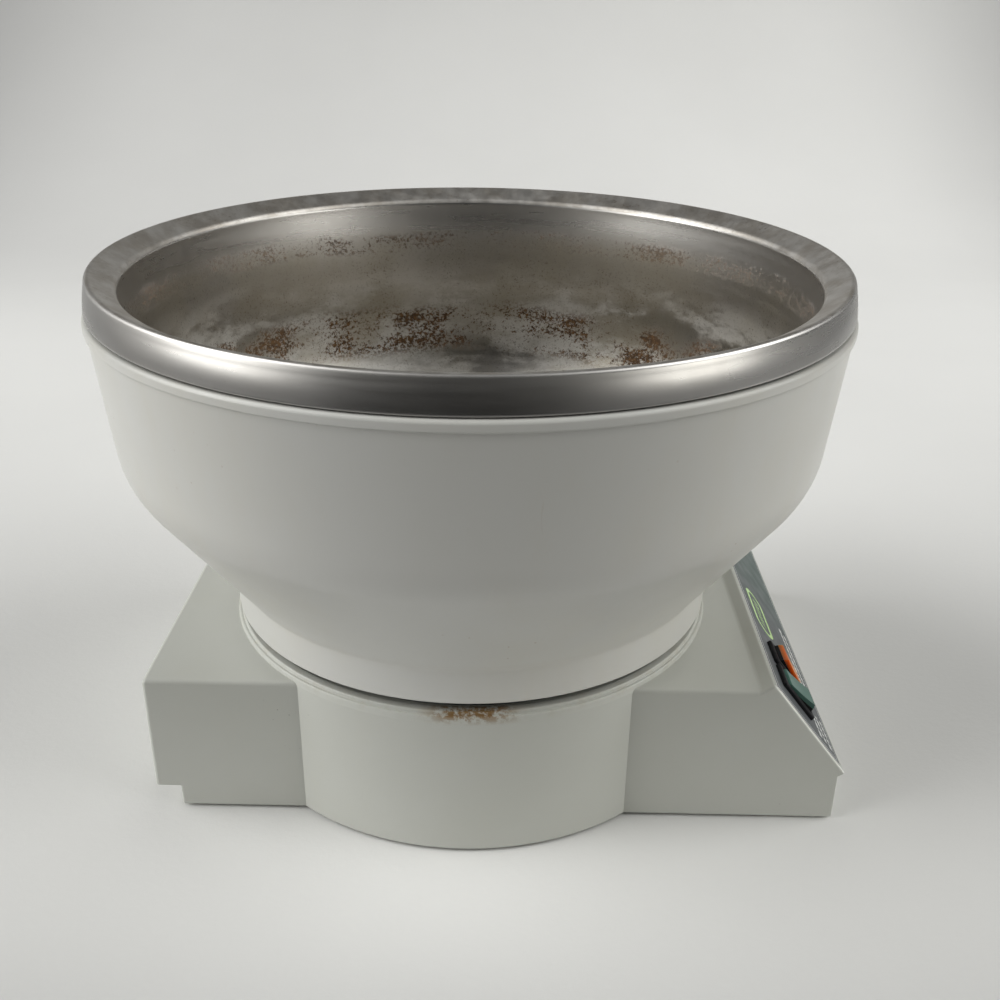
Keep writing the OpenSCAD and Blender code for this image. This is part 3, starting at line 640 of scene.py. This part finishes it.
def make_housing():
    outline = [(LEFT_X, NOTCH_H), (LEFT_X, WING_TOP), (RISER_X, WING_TOP), (PANEL_X, PANEL_Z), tuple(TIP),
               (END_X, END_Z), (END_X, FOOT_GAP), (NOTCH_X, FOOT_GAP), (NOTCH_X, NOTCH_H)]
    shell = prism_y("base_housing_moulding", outline, FRONT_Y, REAR_Y)
    bevel_weights(shell, housing_edge)
    add_bevel(shell, 2.4, 5)

    # the drum, whose collar carries two beads
    side_top, bead_top, collar_floor = 67.0, 70.1, COLLAR_TOP - 1.2
    drum = lathe("cut_drum", rounded([
        (0, FOOT_GAP, 0), (DRUM_R, FOOT_GAP, 1.0), (DRUM_R, side_top, 0.9), (DRUM_R - 0.7, bead_top, 0.9),
        (DRUM_R - 1.9, bead_top, 0.25), (DRUM_R - 2.2, COLLAR_TOP, 0.7), (DRUM_R - 6.0, COLLAR_TOP, 0.9),
        (DRUM_R - 6.4, collar_floor, 0.5), (WELL_R - 2, collar_floor, 0), (0, collar_floor, 0)], steps=6))
    ceiling = WING_TOP - WALL
    inner = Vector((PANEL_X, PANEL_Z)) - OUT * WALL
    slope_top = inner + DIR * ((inner.y - ceiling) / math.sin(TILT))
    slope_end = inner + DIR * ((END_X - WALL - inner.x) / math.cos(TILT))
    hollow = prism_y("cut_hollow", [
        (LEFT_X + WALL, NOTCH_H + WALL), (LEFT_X + WALL, ceiling), tuple(slope_top), tuple(slope_end),
        (END_X - WALL, -BEYOND), (NOTCH_X + WALL, -BEYOND), (NOTCH_X + WALL, NOTCH_H + WALL)],
        FRONT_Y + WALL, REAR_Y - WALL)
    drum_hollow = lathe("cut_drum_hollow", [(0, -BEYOND), (DRUM_R - WALL, -BEYOND),
                                            (DRUM_R - WALL, ceiling), (0, ceiling)])
    low, high = 20, 90
    well = lathe("cut_well", [(0, low), (WELL_R, low), (WELL_R, high), (0, high)])
    half_l, half_w = SWITCH_L / 2 - SWITCH_LAP, SWITCH_W / 2 - SWITCH_LAP
    switch_holes = [on_panel(block("cut_switch", (-half_l, -half_w, -8), (half_l, half_w, 8)),
                             SWITCH_S, y) for y in (SWITCH_REAR, SWITCH_FRONT)]
    inlet = block("cut_inlet", (INLET_X[0], REAR_Y - WALL - 4, INLET_Z[0]),
                  (INLET_X[1], REAR_Y + BEYOND, INLET_Z[1]))
    hollows = [hollow, drum_hollow, well, *switch_holes, inlet]
    add_boolean(shell, drum, "UNION")
    for c in hollows:
        add_boolean(shell, c, "DIFFERENCE")
    bake_modifiers(shell, drum, *hollows, angle=32)
    return shell


finish_piece(make_housing(), "base", [base_plastic()], ["base_housing"])


# ---------------------------------------------------------------- plastic bowl

def make_outer_bowl():
    skirt_r, skirt_z, skirt_t = 113.7, 76.1, 3.0
    wall_z, wall_t, floor, floor_t = 92.5, 4.0, 93.5, 4.0
    knee_r, knee_z, knee_t = 158.1, 152.9, 4.4
    lip_r, lip_top, lip_t = 165.6, 218.9, 4.0
    lean = math.atan2(knee_r - skirt_r, knee_z - wall_z)
    foot_r = skirt_r - wall_t / math.cos(lean) + (floor - wall_z) * math.tan(lean)
    outline = rounded([
        (skirt_r - skirt_t, skirt_z, 0.6), (skirt_r, skirt_z, 1.0), (skirt_r, wall_z, 4.5),
        (knee_r, knee_z, 38), (lip_r - 1.2, lip_top - 4.7, 0.5), (lip_r - 0.1, lip_top - 4.2, 0.6),
        (lip_r, lip_top, 1.7), (lip_r - lip_t, lip_top, 1.2), (lip_r - 5.2, lip_top - 4.4, 2),
        (knee_r - knee_t, knee_z, 32), (foot_r, floor, 3), (0, floor, 0), (0, floor - floor_t, 0),
        (skirt_r - skirt_t, floor - floor_t, 1)], steps=14)
    return smooth(lathe("plastic_bowl", outline), 40)


finish_piece(make_outer_bowl(), "sprung_bowl", [bowl_plastic()], ["outer_bowl"])


# ---------------------------------------------------------------- steel bowl

BAND, INSIDE, TOP = range(3)


def make_steel_bowl():
    rim_r, rim_h, mouth_r, sheet, slope = 164.6, 13.6, 150.6, 1.2, 30
    top = RIM_Z + rim_h - 0.01
    wall_r, bend_r, floor = 146.5, 75.0, 101.0
    neck_z = top - 15
    crest_r, throat_r, hem_r = 1.8, 4.0, 0.6
    crest = (rim_r - 3.6, top - crest_r)
    # the throat's centre, from which the sloped top touches both roundings
    nx, nz = -math.sin(math.radians(slope)), math.cos(math.radians(slope))
    throat_x = mouth_r + throat_r
    throat = (throat_x, (crest[0] * nx + crest[1] * nz + crest_r - throat_r - throat_x * nx) / nz)
    bend = (wall_r - bend_r, floor + bend_r)

    outside = [(0, floor)] + arc(bend, bend_r, -90, 0, 40) + [(mouth_r + sheet - 0.8, neck_z)]
    under = arc(throat, throat_r - sheet, 180, 90 + slope, 10)
    under += arc(crest, crest_r - sheet, 90 + slope, 14, 6)
    band = [(rim_r - sheet, RIM_Z + 0.3)] + arc((rim_r - hem_r, RIM_Z + hem_r), hem_r, 210, 350, 5)
    # the band is barrelled a little: it leans in more towards the crest
    band += [(rim_r - 0.07 * h - 0.0075 * h * h, RIM_Z + h) for h in [1.2 * i for i in range(1, 10)]]
    over = arc(crest, crest_r, 14, 90 + slope, 14) + arc(throat, throat_r, 90 + slope, 178, 14)
    neck = [(mouth_r - 0.3, top - 11), (mouth_r - 0.8, neck_z)]
    inner = [(wall_r - sheet + 0.6, bend[1] + 12), (wall_r - sheet, bend[1])]
    inner += arc(bend, bend_r - sheet, -3, -90, 40) + [(0, floor + sheet)]
    bowl = lathe("steel_bowl_spinning", outside + under + band + over + neck + inner)

    # the outside is clean, the rim's top is worn dull and the inside wall is stained
    for p in bowl.data.polygons:
        c, n = p.center / MM, p.normal
        r = math.hypot(c.x, c.y)
        facing_in = n.z > 0.2 or (n.x * c.x + n.y * c.y) < 0
        if c.z > top - 7.2 and mouth_r < r < rim_r - 2.6 and n.z > 0.3:
            p.material_index = TOP
        elif r < mouth_r + 1 and c.z < top - 4 and facing_in:
            p.material_index = INSIDE
        else:
            p.material_index = BAND
    about_rim = Matrix.Translation((0, 0, RIM_Z * MM))
    place(bowl, about_rim @ Matrix.Rotation(STEEL_LEAN, 4, "X") @ about_rim.inverted())
    return smooth(bowl, 40)


finish_piece(make_steel_bowl(), "loose_bowl",
             [spun_steel("band"), spun_steel("inside"), spun_steel("top")], ["steel_bowl"])


# ---------------------------------------------------------------- panel label and its printing

def make_label():
    margin = 1.2
    plate = block("panel_label", (margin, FRONT_Y + margin, 0), (54.6, REAR_Y - margin, LABEL_T))
    bevel_weights(plate, lambda a, b: 1.0 if abs(a.z - b.z) > 0.2 else 0.2)
    add_bevel(plate, 1.6, 3)
    half_l, half_w = SWITCH_L / 2 - SWITCH_LAP, SWITCH_W / 2 - SWITCH_LAP
    holes = [block("cut_label", (SWITCH_S - half_l, y - half_w, -2), (SWITCH_S + half_l, y + half_w, 2))
             for y in (SWITCH_REAR, SWITCH_FRONT)]
    for hole in holes:
        add_boolean(plate, hole, "DIFFERENCE")
    bake_modifiers(plate, *holes)
    # the cut edge shows the white stock under the dark print
    for p in plate.data.polygons:
        p.material_index = 0 if abs(p.normal.z) > 0.97 else 1
    return place(plate, PANEL)


label_looks = [film("label_film", (0.085, 0.092, 0.098), (0.06, 0.12, 0.095)),
               plastic("label_stock", (0.80, 0.80, 0.77), 0.45)]
finish_piece(make_label(), "base", label_looks, ["label_plate"])


def strip(points, width, z0, z1):
    """A flat printed line with mitred corners, along points in the panel's plane."""
    closed = points[0] == points[-1]
    if closed:
        points = points[:-1]
    n = len(points)
    sides = []
    for i in range(n):
        b = Vector(points[i])
        a = Vector(points[i - 1]) if closed or i else b
        c = Vector(points[(i + 1) % n]) if closed or i < n - 1 else b
        d = ((b - a).normalized() + (c - b).normalized()).normalized()
        sides.append((b, Vector((-d.y, d.x)) * width / 2))
    verts, faces = [], []
    for b, o in sides:
        for z in (z0, z1):
            verts += [(b.x + o.x, b.y + o.y, z), (b.x - o.x, b.y - o.y, z)]
    for i in range(n if closed else n - 1):
        p, q = 4 * i, 4 * ((i + 1) % n)
        faces += [(p + 2, p + 3, q + 3, q + 2), (p, q, q + 1, p + 1),
                  (p, p + 2, q + 2, q), (p + 1, q + 1, q + 3, p + 3)]
    if not closed:
        end = 4 * n - 4
        faces += [(0, 1, 3, 2), (end, end + 2, end + 3, end + 1)]
    return outward(mesh_object("strip", verts, faces))


def make_printing():
    """A plain outlined pill with slanted bars, rows of dashes and a thin frame line."""
    z0, z1 = LABEL_T, LABEL_T + 0.06

    def line(points, width):
        return strip(points, width, z0, z1)

    s0, s1, y0, y1 = 10.5, 23.5, -25.0, 13.0
    r = (s1 - s0) / 2
    middle, half_turn = s0 + r, [math.pi * k / 16 for k in range(17)]
    outline = [(middle + r * math.cos(a), y1 - r + r * math.sin(a)) for a in half_turn]
    outline += [(middle - r * math.cos(a), y0 + r - r * math.sin(a)) for a in half_turn]
    green = [line(outline + outline[:1], 2.4)]
    chance = random.Random(4)
    y = -18.0
    while y < 7:
        w = chance.uniform(1.2, 2.6)
        green.append(line([(14.5, y), (19.5, y + 0.6)], w * 0.55))
        y += w + 1.5
    white = []
    for low, high, rows in ((-50, 14, (44.5, 48.5)), (-82, -60, (41.5, 45.5, 49.5))):
        for s in rows:
            y = low + chance.uniform(0, 2)
            while y < high - 3:
                w = chance.uniform(1.5, 5)
                white.append(line([(s, y), (s, y + w)], 2.0))
                y += w + 1.4
    s0, s1, y0, y1 = 3.2, 52.6, -86.0, 121.4
    white.append(line([(s0, y0), (s1, y0), (s1, y1), (s0, y1), (s0, y0)], 0.5))
    for name, parts, colour in (("label_pill", green, (0.42, 0.68, 0.20)),
                                ("label_marks", white, (0.74, 0.75, 0.74))):
        ob = place(joined(name, parts), PANEL)
        finish_piece(ob, "base", [ink(name + "_ink", colour)])


make_printing()


# ---------------------------------------------------------------- switches

black = plastic("switch_black", (0.008, 0.008, 0.010), 0.55, dirt=(0.10, 0.10, 0.09), ior=1.3)


def make_frame(y):
    """A black switch housing: a bevelled flange on a body that reaches through the panel."""
    half_l, half_w, flange_t, body_in = SWITCH_L / 2, SWITCH_W / 2, 2.0, 1
    hole_l, hole_w = 9.9, 6.6
    flange = block("flange", (-half_l, -half_w, LABEL_T), (half_l, half_w, LABEL_T + flange_t))
    bevel_weights(flange, lambda a, b: 1.0 if min(a.z, b.z) > 1 or abs(a.z - b.z) > 1 else 0.0)
    add_bevel(flange, 0.9, 4)
    body = block("cut_body", (-half_l + body_in, -half_w + body_in, -20),
                 (half_l - body_in, half_w - body_in, LABEL_T + 0.5))
    hole = block("cut_rocker", (-hole_l, -hole_w, -8), (hole_l, hole_w, 9))
    add_boolean(flange, body, "UNION")
    add_boolean(flange, hole, "DIFFERENCE")
    bake_modifiers(flange, body, hole)
    return on_panel(flange, SWITCH_S, y)


frames = joined("switch_frame_pair", [make_frame(SWITCH_REAR), make_frame(SWITCH_FRONT)])
finish_piece(smooth(frames, 30), "base", [black], ["switch_frames"])


def make_rocker(name, body, node, y, tilt, face):
    """A rocker with a dished coloured cap on a black lower part."""
    top, dip, split, half, wide, pivot_z = 5.1, 4.8, 3.0, 9.5, 6.3, -0.5

    def side(z):
        return math.sqrt(half * half - z * z)

    def mirrored(line):
        return [(-x, z) for x, z in reversed(line)]

    low = [(side(z), z) for z in (-5.9, -4, -2, 0, 1.5, split)]
    lower = prism_y("rocker_lower", low + mirrored(low), -wide + 0.05, wide - 0.05)
    for p in lower.data.polygons:
        p.material_index = 1
    edge = [(side(z), z) for z in (split, 4.0, 4.6)]
    reach = side(top) - 0.25
    turn = [math.pi * t / 12 for t in range(13)]
    dish = [(reach * math.cos(a), top - (top - dip) * math.sin(a) ** 1.4) for a in turn]
    upper = prism_y("rocker_upper", edge + dish + mirrored(edge), -wide, wide)
    bevel_weights(upper, lambda a, b: 1.0 if abs(a.y - b.y) < 0.1 and min(a.z, b.z) > 3.5 else 0.0)
    add_bevel(upper, 0.6, 4)
    bake_modifiers(upper, angle=35)
    ob = joined(name, [upper, lower])
    ob.data.materials.append(face)
    ob.data.materials.append(black)
    bake_modifiers(ob, angle=35)
    place(ob, Matrix.Translation((0, 0, pivot_z * MM)) @ Matrix.Rotation(math.radians(-tilt), 4, "Y"))
    finish_piece(on_panel(ob, SWITCH_S, y), body, [], [node])


orange = plastic("rocker_orange", (0.52, 0.125, 0.012), 0.40, coat=0.1,
                 dirt=(0.30, 0.12, 0.05), dirt_amount=0.35)
# the orange rocker is a lens: light that falls on its face comes out of its sides too
lens = orange.node_tree.nodes["Principled BSDF"].inputs
lens["Subsurface Weight"].default_value = 1.0
lens["Subsurface Radius"].default_value = (1.0, 0.45, 0.15)
lens["Subsurface Scale"].default_value = 0.008
green = plastic("rocker_green", (0.030, 0.125, 0.095), 0.36, coat=0.15,
                dirt=(0.25, 0.28, 0.26), dirt_amount=0.35)
make_rocker("orange_rocker_cap", "orange_switch", "orange_rocker", SWITCH_REAR, -9, orange)
make_rocker("green_rocker_cap", "green_switch", "green_rocker", SWITCH_FRONT, 9, green)


# ---------------------------------------------------------------- carried-over CAD nodes

zinc = metal("zinc_plate", (0.56, 0.57, 0.58), 0.34)
bright = metal("bright_steel", (0.72, 0.73, 0.74), 0.24)
wire = metal("spring_wire", (0.56, 0.57, 0.58), 0.30, streak=(900, 900, 900))
cast = metal("cast_aluminium", (0.62, 0.63, 0.64), 0.46, streak=(500, 500, 500), depth=0.00008)
brass = metal("brass_parts", (0.72, 0.56, 0.26), 0.3)
nickel = metal("nickel_parts", (0.70, 0.69, 0.66), 0.26)
weights = metal("plated_weights", (0.46, 0.47, 0.48), 0.4)
dark_steel = metal("dark_steel", (0.14, 0.14, 0.15), 0.4)
rubber_black = rubber("black_rubber", (0.022, 0.022, 0.023))
dark_plastic = plastic("dark_plastic", (0.045, 0.047, 0.05), 0.5, grain=700, grain_depth=0.00008,
                       dirt=(0.22, 0.21, 0.19), dirt_amount=0.25)
inlet_plastic = plastic("inlet_plastic", (0.016, 0.016, 0.018), 0.42,
                        dirt=(0.15, 0.15, 0.14), dirt_amount=0.3)
cream = plastic("cream_plastic", (0.72, 0.69, 0.58), 0.45, dirt=(0.45, 0.40, 0.30), dirt_amount=0.2)
case = plastic("capacitor_case", (0.55, 0.57, 0.59), 0.4, dirt=(0.35, 0.33, 0.30), dirt_amount=0.2)
paint = plastic("motor_paint", (0.10, 0.115, 0.13), 0.36, grain=500, grain_depth=0.00006, coat=0.3,
                dirt=(0.25, 0.24, 0.22), dirt_amount=0.25)
lead_brown = rubber("lead_insulation", (0.10, 0.045, 0.022))
stator = laminated("stator_stack", (0.36, 0.37, 0.38))
copper = windings("copper_windings")
rotor = laminated("rotor_stack", (0.44, 0.45, 0.46))

CAD_LOOKS = {
    zinc: ("plate_screws", "inlet_screws", "block_screws", "capacitor_clip", "clip_screws",
           "lower_spring_cups", "upper_spring_cups", "bowl_screws", "motor_studs", "motor_nuts"),
    bright: ("rocker_pins", "upper_bearing", "lower_bearing", "motor_standoffs", "motor_shaft"),
    cast: ("drive_plate", "motor_top_bell", "motor_bottom_bell"),
    brass: ("switch_tabs", "terminal_screws"),
    nickel: ("inlet_pins",),
    weights: ("upper_weight", "lower_weight"),
    dark_steel: ("weight_screws", "shaft_circlips"),
    rubber_black: ("rubber_feet", "motor_lead", "lead_grommet", "liner_ring"),
    lead_brown: ("supply_leads",),
    dark_plastic: ("base_plate",),
    inlet_plastic: ("mains_inlet",),
    cream: ("terminal_block",),
    case: ("run_capacitor",),
    paint: ("motor_can",),
    stator: ("stator_core",),
    copper: ("stator_windings",),
    rotor: ("rotor_core",),
}
for look, nodes in CAD_LOOKS.items():
    for node in nodes:
        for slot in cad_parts[node].material_slots:
            slot.material = look


# ---------------------------------------------------------------- springs

def make_coil_springs():
    """Four springs with flat closed end coils."""
    circle, coil_r, wire_r, turns, steps, sides = 86, 9, 1.28, 8, 28, 12
    low, end_rise, open_rise = 32.8, 2.795, 44.31
    verts, faces = [], []
    for bearing in (45, 135, 225, 315):
        start = math.radians(bearing)
        cx, cy, first = circle * math.cos(start), circle * math.sin(start), len(verts)
        for i in range(turns * steps + 1):
            made = i / steps
            a = start + 2 * math.pi * made
            # one flat turn at each end, and an even rise between them
            z = low + end_rise * (min(1, made) + max(0, made - turns + 1))
            z += open_rise * min(1, max(0, (made - 1) / (turns - 2)))
            for j in range(sides):
                b = 2 * math.pi * j / sides
                r = coil_r + wire_r * math.cos(b)
                verts.append((cx + r * math.cos(a), cy + r * math.sin(a), z + wire_r * math.sin(b)))
        for i in range(turns * steps):
            for j in range(sides):
                p, q = first + i * sides + j, first + i * sides + (j + 1) % sides
                faces.append((p, q, q + sides, p + sides))
        last = len(verts) - sides
        faces += [tuple(range(first, first + sides)), tuple(range(last, last + sides))]
    ob = smooth(outward(mesh_object("coil_spring_set", verts, faces)), 40)
    ob.data.materials.append(wire)
    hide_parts("coil_springs")
    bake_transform(ob)


make_coil_springs()


# ---------------------------------------------------------------- floor, light and camera

def make_stage():
    """A pale sweep: a floor that curves up into a low wall behind. Its profile is in metres."""
    front, flat_end, curve_r, half_width = -3.0, 1.0, 0.9, 3.5
    profile = [(front, 0.0)] + [(0.75 + 0.02 * k, 0.0) for k in range(3)]
    profile += [(flat_end + curve_r * math.sin(a), curve_r - curve_r * math.cos(a))
                for a in map(math.radians, range(0, 66, 5))]
    verts, faces = [], []
    for i, (y, z) in enumerate(profile):
        verts += [(-half_width / MM, y / MM, z / MM), (half_width / MM, y / MM, z / MM)]
        if i:
            faces.append((2 * i - 2, 2 * i - 1, 2 * i + 1, 2 * i))
    ob = mesh_object("paper_sweep", verts, faces)
    k = Look("paper", Metallic=0.0)
    x, y, _ = k.split()
    cloud = k.noise(2.2, 4, 0.55)
    fibre = k.noise(260, 4, 0.65)
    col = k.mix(k.ramp(cloud, 0.3, 0.7), (0.80, 0.80, 0.785), (0.765, 0.765, 0.75))
    # painted shade: the paper is painted grey in front of the machine, far out to the sides and a little
    # at the back left, where the room gives it less light
    col = k.mix(k.ramp(y, -0.10, -0.38), col, (0.20, 0.20, 0.20))
    col = k.mix(k.ramp(k.math("ABSOLUTE", x), 0.55, 1.3), col, (0.22, 0.22, 0.22))
    back_left_shade = k.times(k.ramp(y, 0.5, 1.1), k.ramp(x, 0.7, -0.7, 0.04, 0.32))
    col = k.mix(back_left_shade, col, (0.33, 0.33, 0.33))
    k.set(Base_Color=col, Roughness=k.ramp(fibre, 0.3, 0.7, 0.75, 0.9))
    k.set(Normal=k.bump(fibre, 0.35, 0.0004))
    ob.data.materials.append(k.m)
    smooth(ob, 60)
    ob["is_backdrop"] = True


make_stage()


def make_flag():
    """A black card behind the camera, which keeps the light off the front as a person there would."""
    half, y, high = 420, -640, 1500
    ob = mesh_object("black_card", [(-half, y, 0), (half, y, 0), (half, y, high), (-half, y, high)],
                     [(0, 1, 2, 3)])
    k = Look("black_card", Metallic=0.0, Roughness=0.9)
    k.set(Base_Color=k.mix(k.noise(30), (0.02, 0.02, 0.02), (0.03, 0.03, 0.03)))
    ob.data.materials.append(k.m)
    ob.visible_camera = False
    ob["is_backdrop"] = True


make_flag()


def make_world(base, lobes):
    """Soft light from large bright areas of the room, over a faint base of (strength, colour).

    Each lobe is (direction, angle of its full inner part, angle where it ends, strength, colour).
    """
    world = bpy.data.worlds.new("studio")
    bpy.context.scene.world = world
    world.use_nodes = True
    t = world.node_tree
    t.nodes.clear()

    def shine(colour, strength):
        n = t.nodes.new("ShaderNodeBackground")
        n.inputs["Color"].default_value = (*colour, 1)
        n.inputs["Strength"].default_value = strength
        return n

    coord = t.nodes.new("ShaderNodeTexCoord").outputs["Generated"]
    total = shine(base[1], base[0]).outputs[0]
    for direction, inner, outer, strength, colour in lobes:
        dot = t.nodes.new("ShaderNodeVectorMath")
        dot.operation = "DOT_PRODUCT"
        t.links.new(coord, dot.inputs[0])
        dot.inputs[1].default_value = Vector(direction).normalized()
        ramp = t.nodes.new("ShaderNodeMapRange")
        ramp.interpolation_type = "SMOOTHSTEP"
        t.links.new(dot.outputs["Value"], ramp.inputs["Value"])
        ramp.inputs["From Min"].default_value = math.cos(math.radians(outer))
        ramp.inputs["From Max"].default_value = math.cos(math.radians(inner))
        ramp.inputs["To Min"].default_value = 0.0
        ramp.inputs["To Max"].default_value = strength
        lobe = shine(colour, 1.0)
        t.links.new(ramp.outputs["Result"], lobe.inputs["Strength"])
        add = t.nodes.new("ShaderNodeAddShader")
        t.links.new(total, add.inputs[0])
        t.links.new(lobe.outputs[0], add.inputs[1])
        total = add.outputs[0]
    # seen directly, the room is a plain pale wall
    seen = t.nodes.new("ShaderNodeMixShader")
    t.links.new(t.nodes.new("ShaderNodeLightPath").outputs["Is Camera Ray"], seen.inputs[0])
    t.links.new(total, seen.inputs[1])
    t.links.new(shine((0.60, 0.60, 0.59), 1.0).outputs[0], seen.inputs[2])
    out = t.nodes.new("ShaderNodeOutputWorld")
    t.links.new(seen.outputs[0], out.inputs["Surface"])


make_world((0.038, (1.0, 1.0, 0.98)), [
    ((0.0, 0.90, 0.44), 14, 38, 0.30, (1.0, 0.99, 0.96)),
    ((0.0, 0.20, 1.0), 20, 50, 0.04, (1.0, 1.0, 0.98)),
    ((-0.94, -0.32, 0.10), 10, 24, 4.2, (1.0, 0.995, 0.97)),
    ((-0.80, -0.06, 0.60), 10, 32, 4.6, (1.0, 1.0, 0.99)),
    ((0.91, -0.42, 0.03), 6, 19, 3.6, (1.0, 0.985, 0.93)),
    ((0.80, -0.04, 0.60), 10, 31, 3.9, (1.0, 1.0, 0.98)),
])


def make_camera(at, yaw, pitch, roll, lens):
    """A camera that looks along +Y, turned by yaw, tipped down by pitch and rolled, in radians."""
    ahead = Vector((math.sin(yaw), math.cos(yaw), 0))
    side = Vector((math.cos(yaw), -math.sin(yaw), 0))
    above = Vector((0, 0, 1))
    look = ahead * math.cos(pitch) - above * math.sin(pitch)
    lift = above * math.cos(pitch) + ahead * math.sin(pitch)
    right = side * math.cos(roll) + lift * math.sin(roll)
    up = lift * math.cos(roll) - side * math.sin(roll)
    data = bpy.data.cameras.new("camera")
    data.lens = lens
    data.sensor_width = 36
    data.clip_start = 0.01
    camera = bpy.data.objects.new("camera", data)
    camera.matrix_world = Matrix.Translation(at) @ Matrix((right, up, -look)).transposed().to_4x4()
    bpy.context.scene.collection.objects.link(camera)
    bpy.context.scene.camera = camera


make_camera((0.0181, -0.4859, 0.3398), yaw=-0.010, pitch=0.432, roll=0.014, lens=39.66)
bpy.context.scene.view_settings.view_transform = "Standard"
bpy.context.scene.view_settings.look = "None"


def plain(value):
    """Nested sequences as plain lists of numbers."""
    if hasattr(value, "__len__"):
        return [plain(v) for v in value]
    return float(value)


{"cad": plain(cad_box), "visual": plain(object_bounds())}
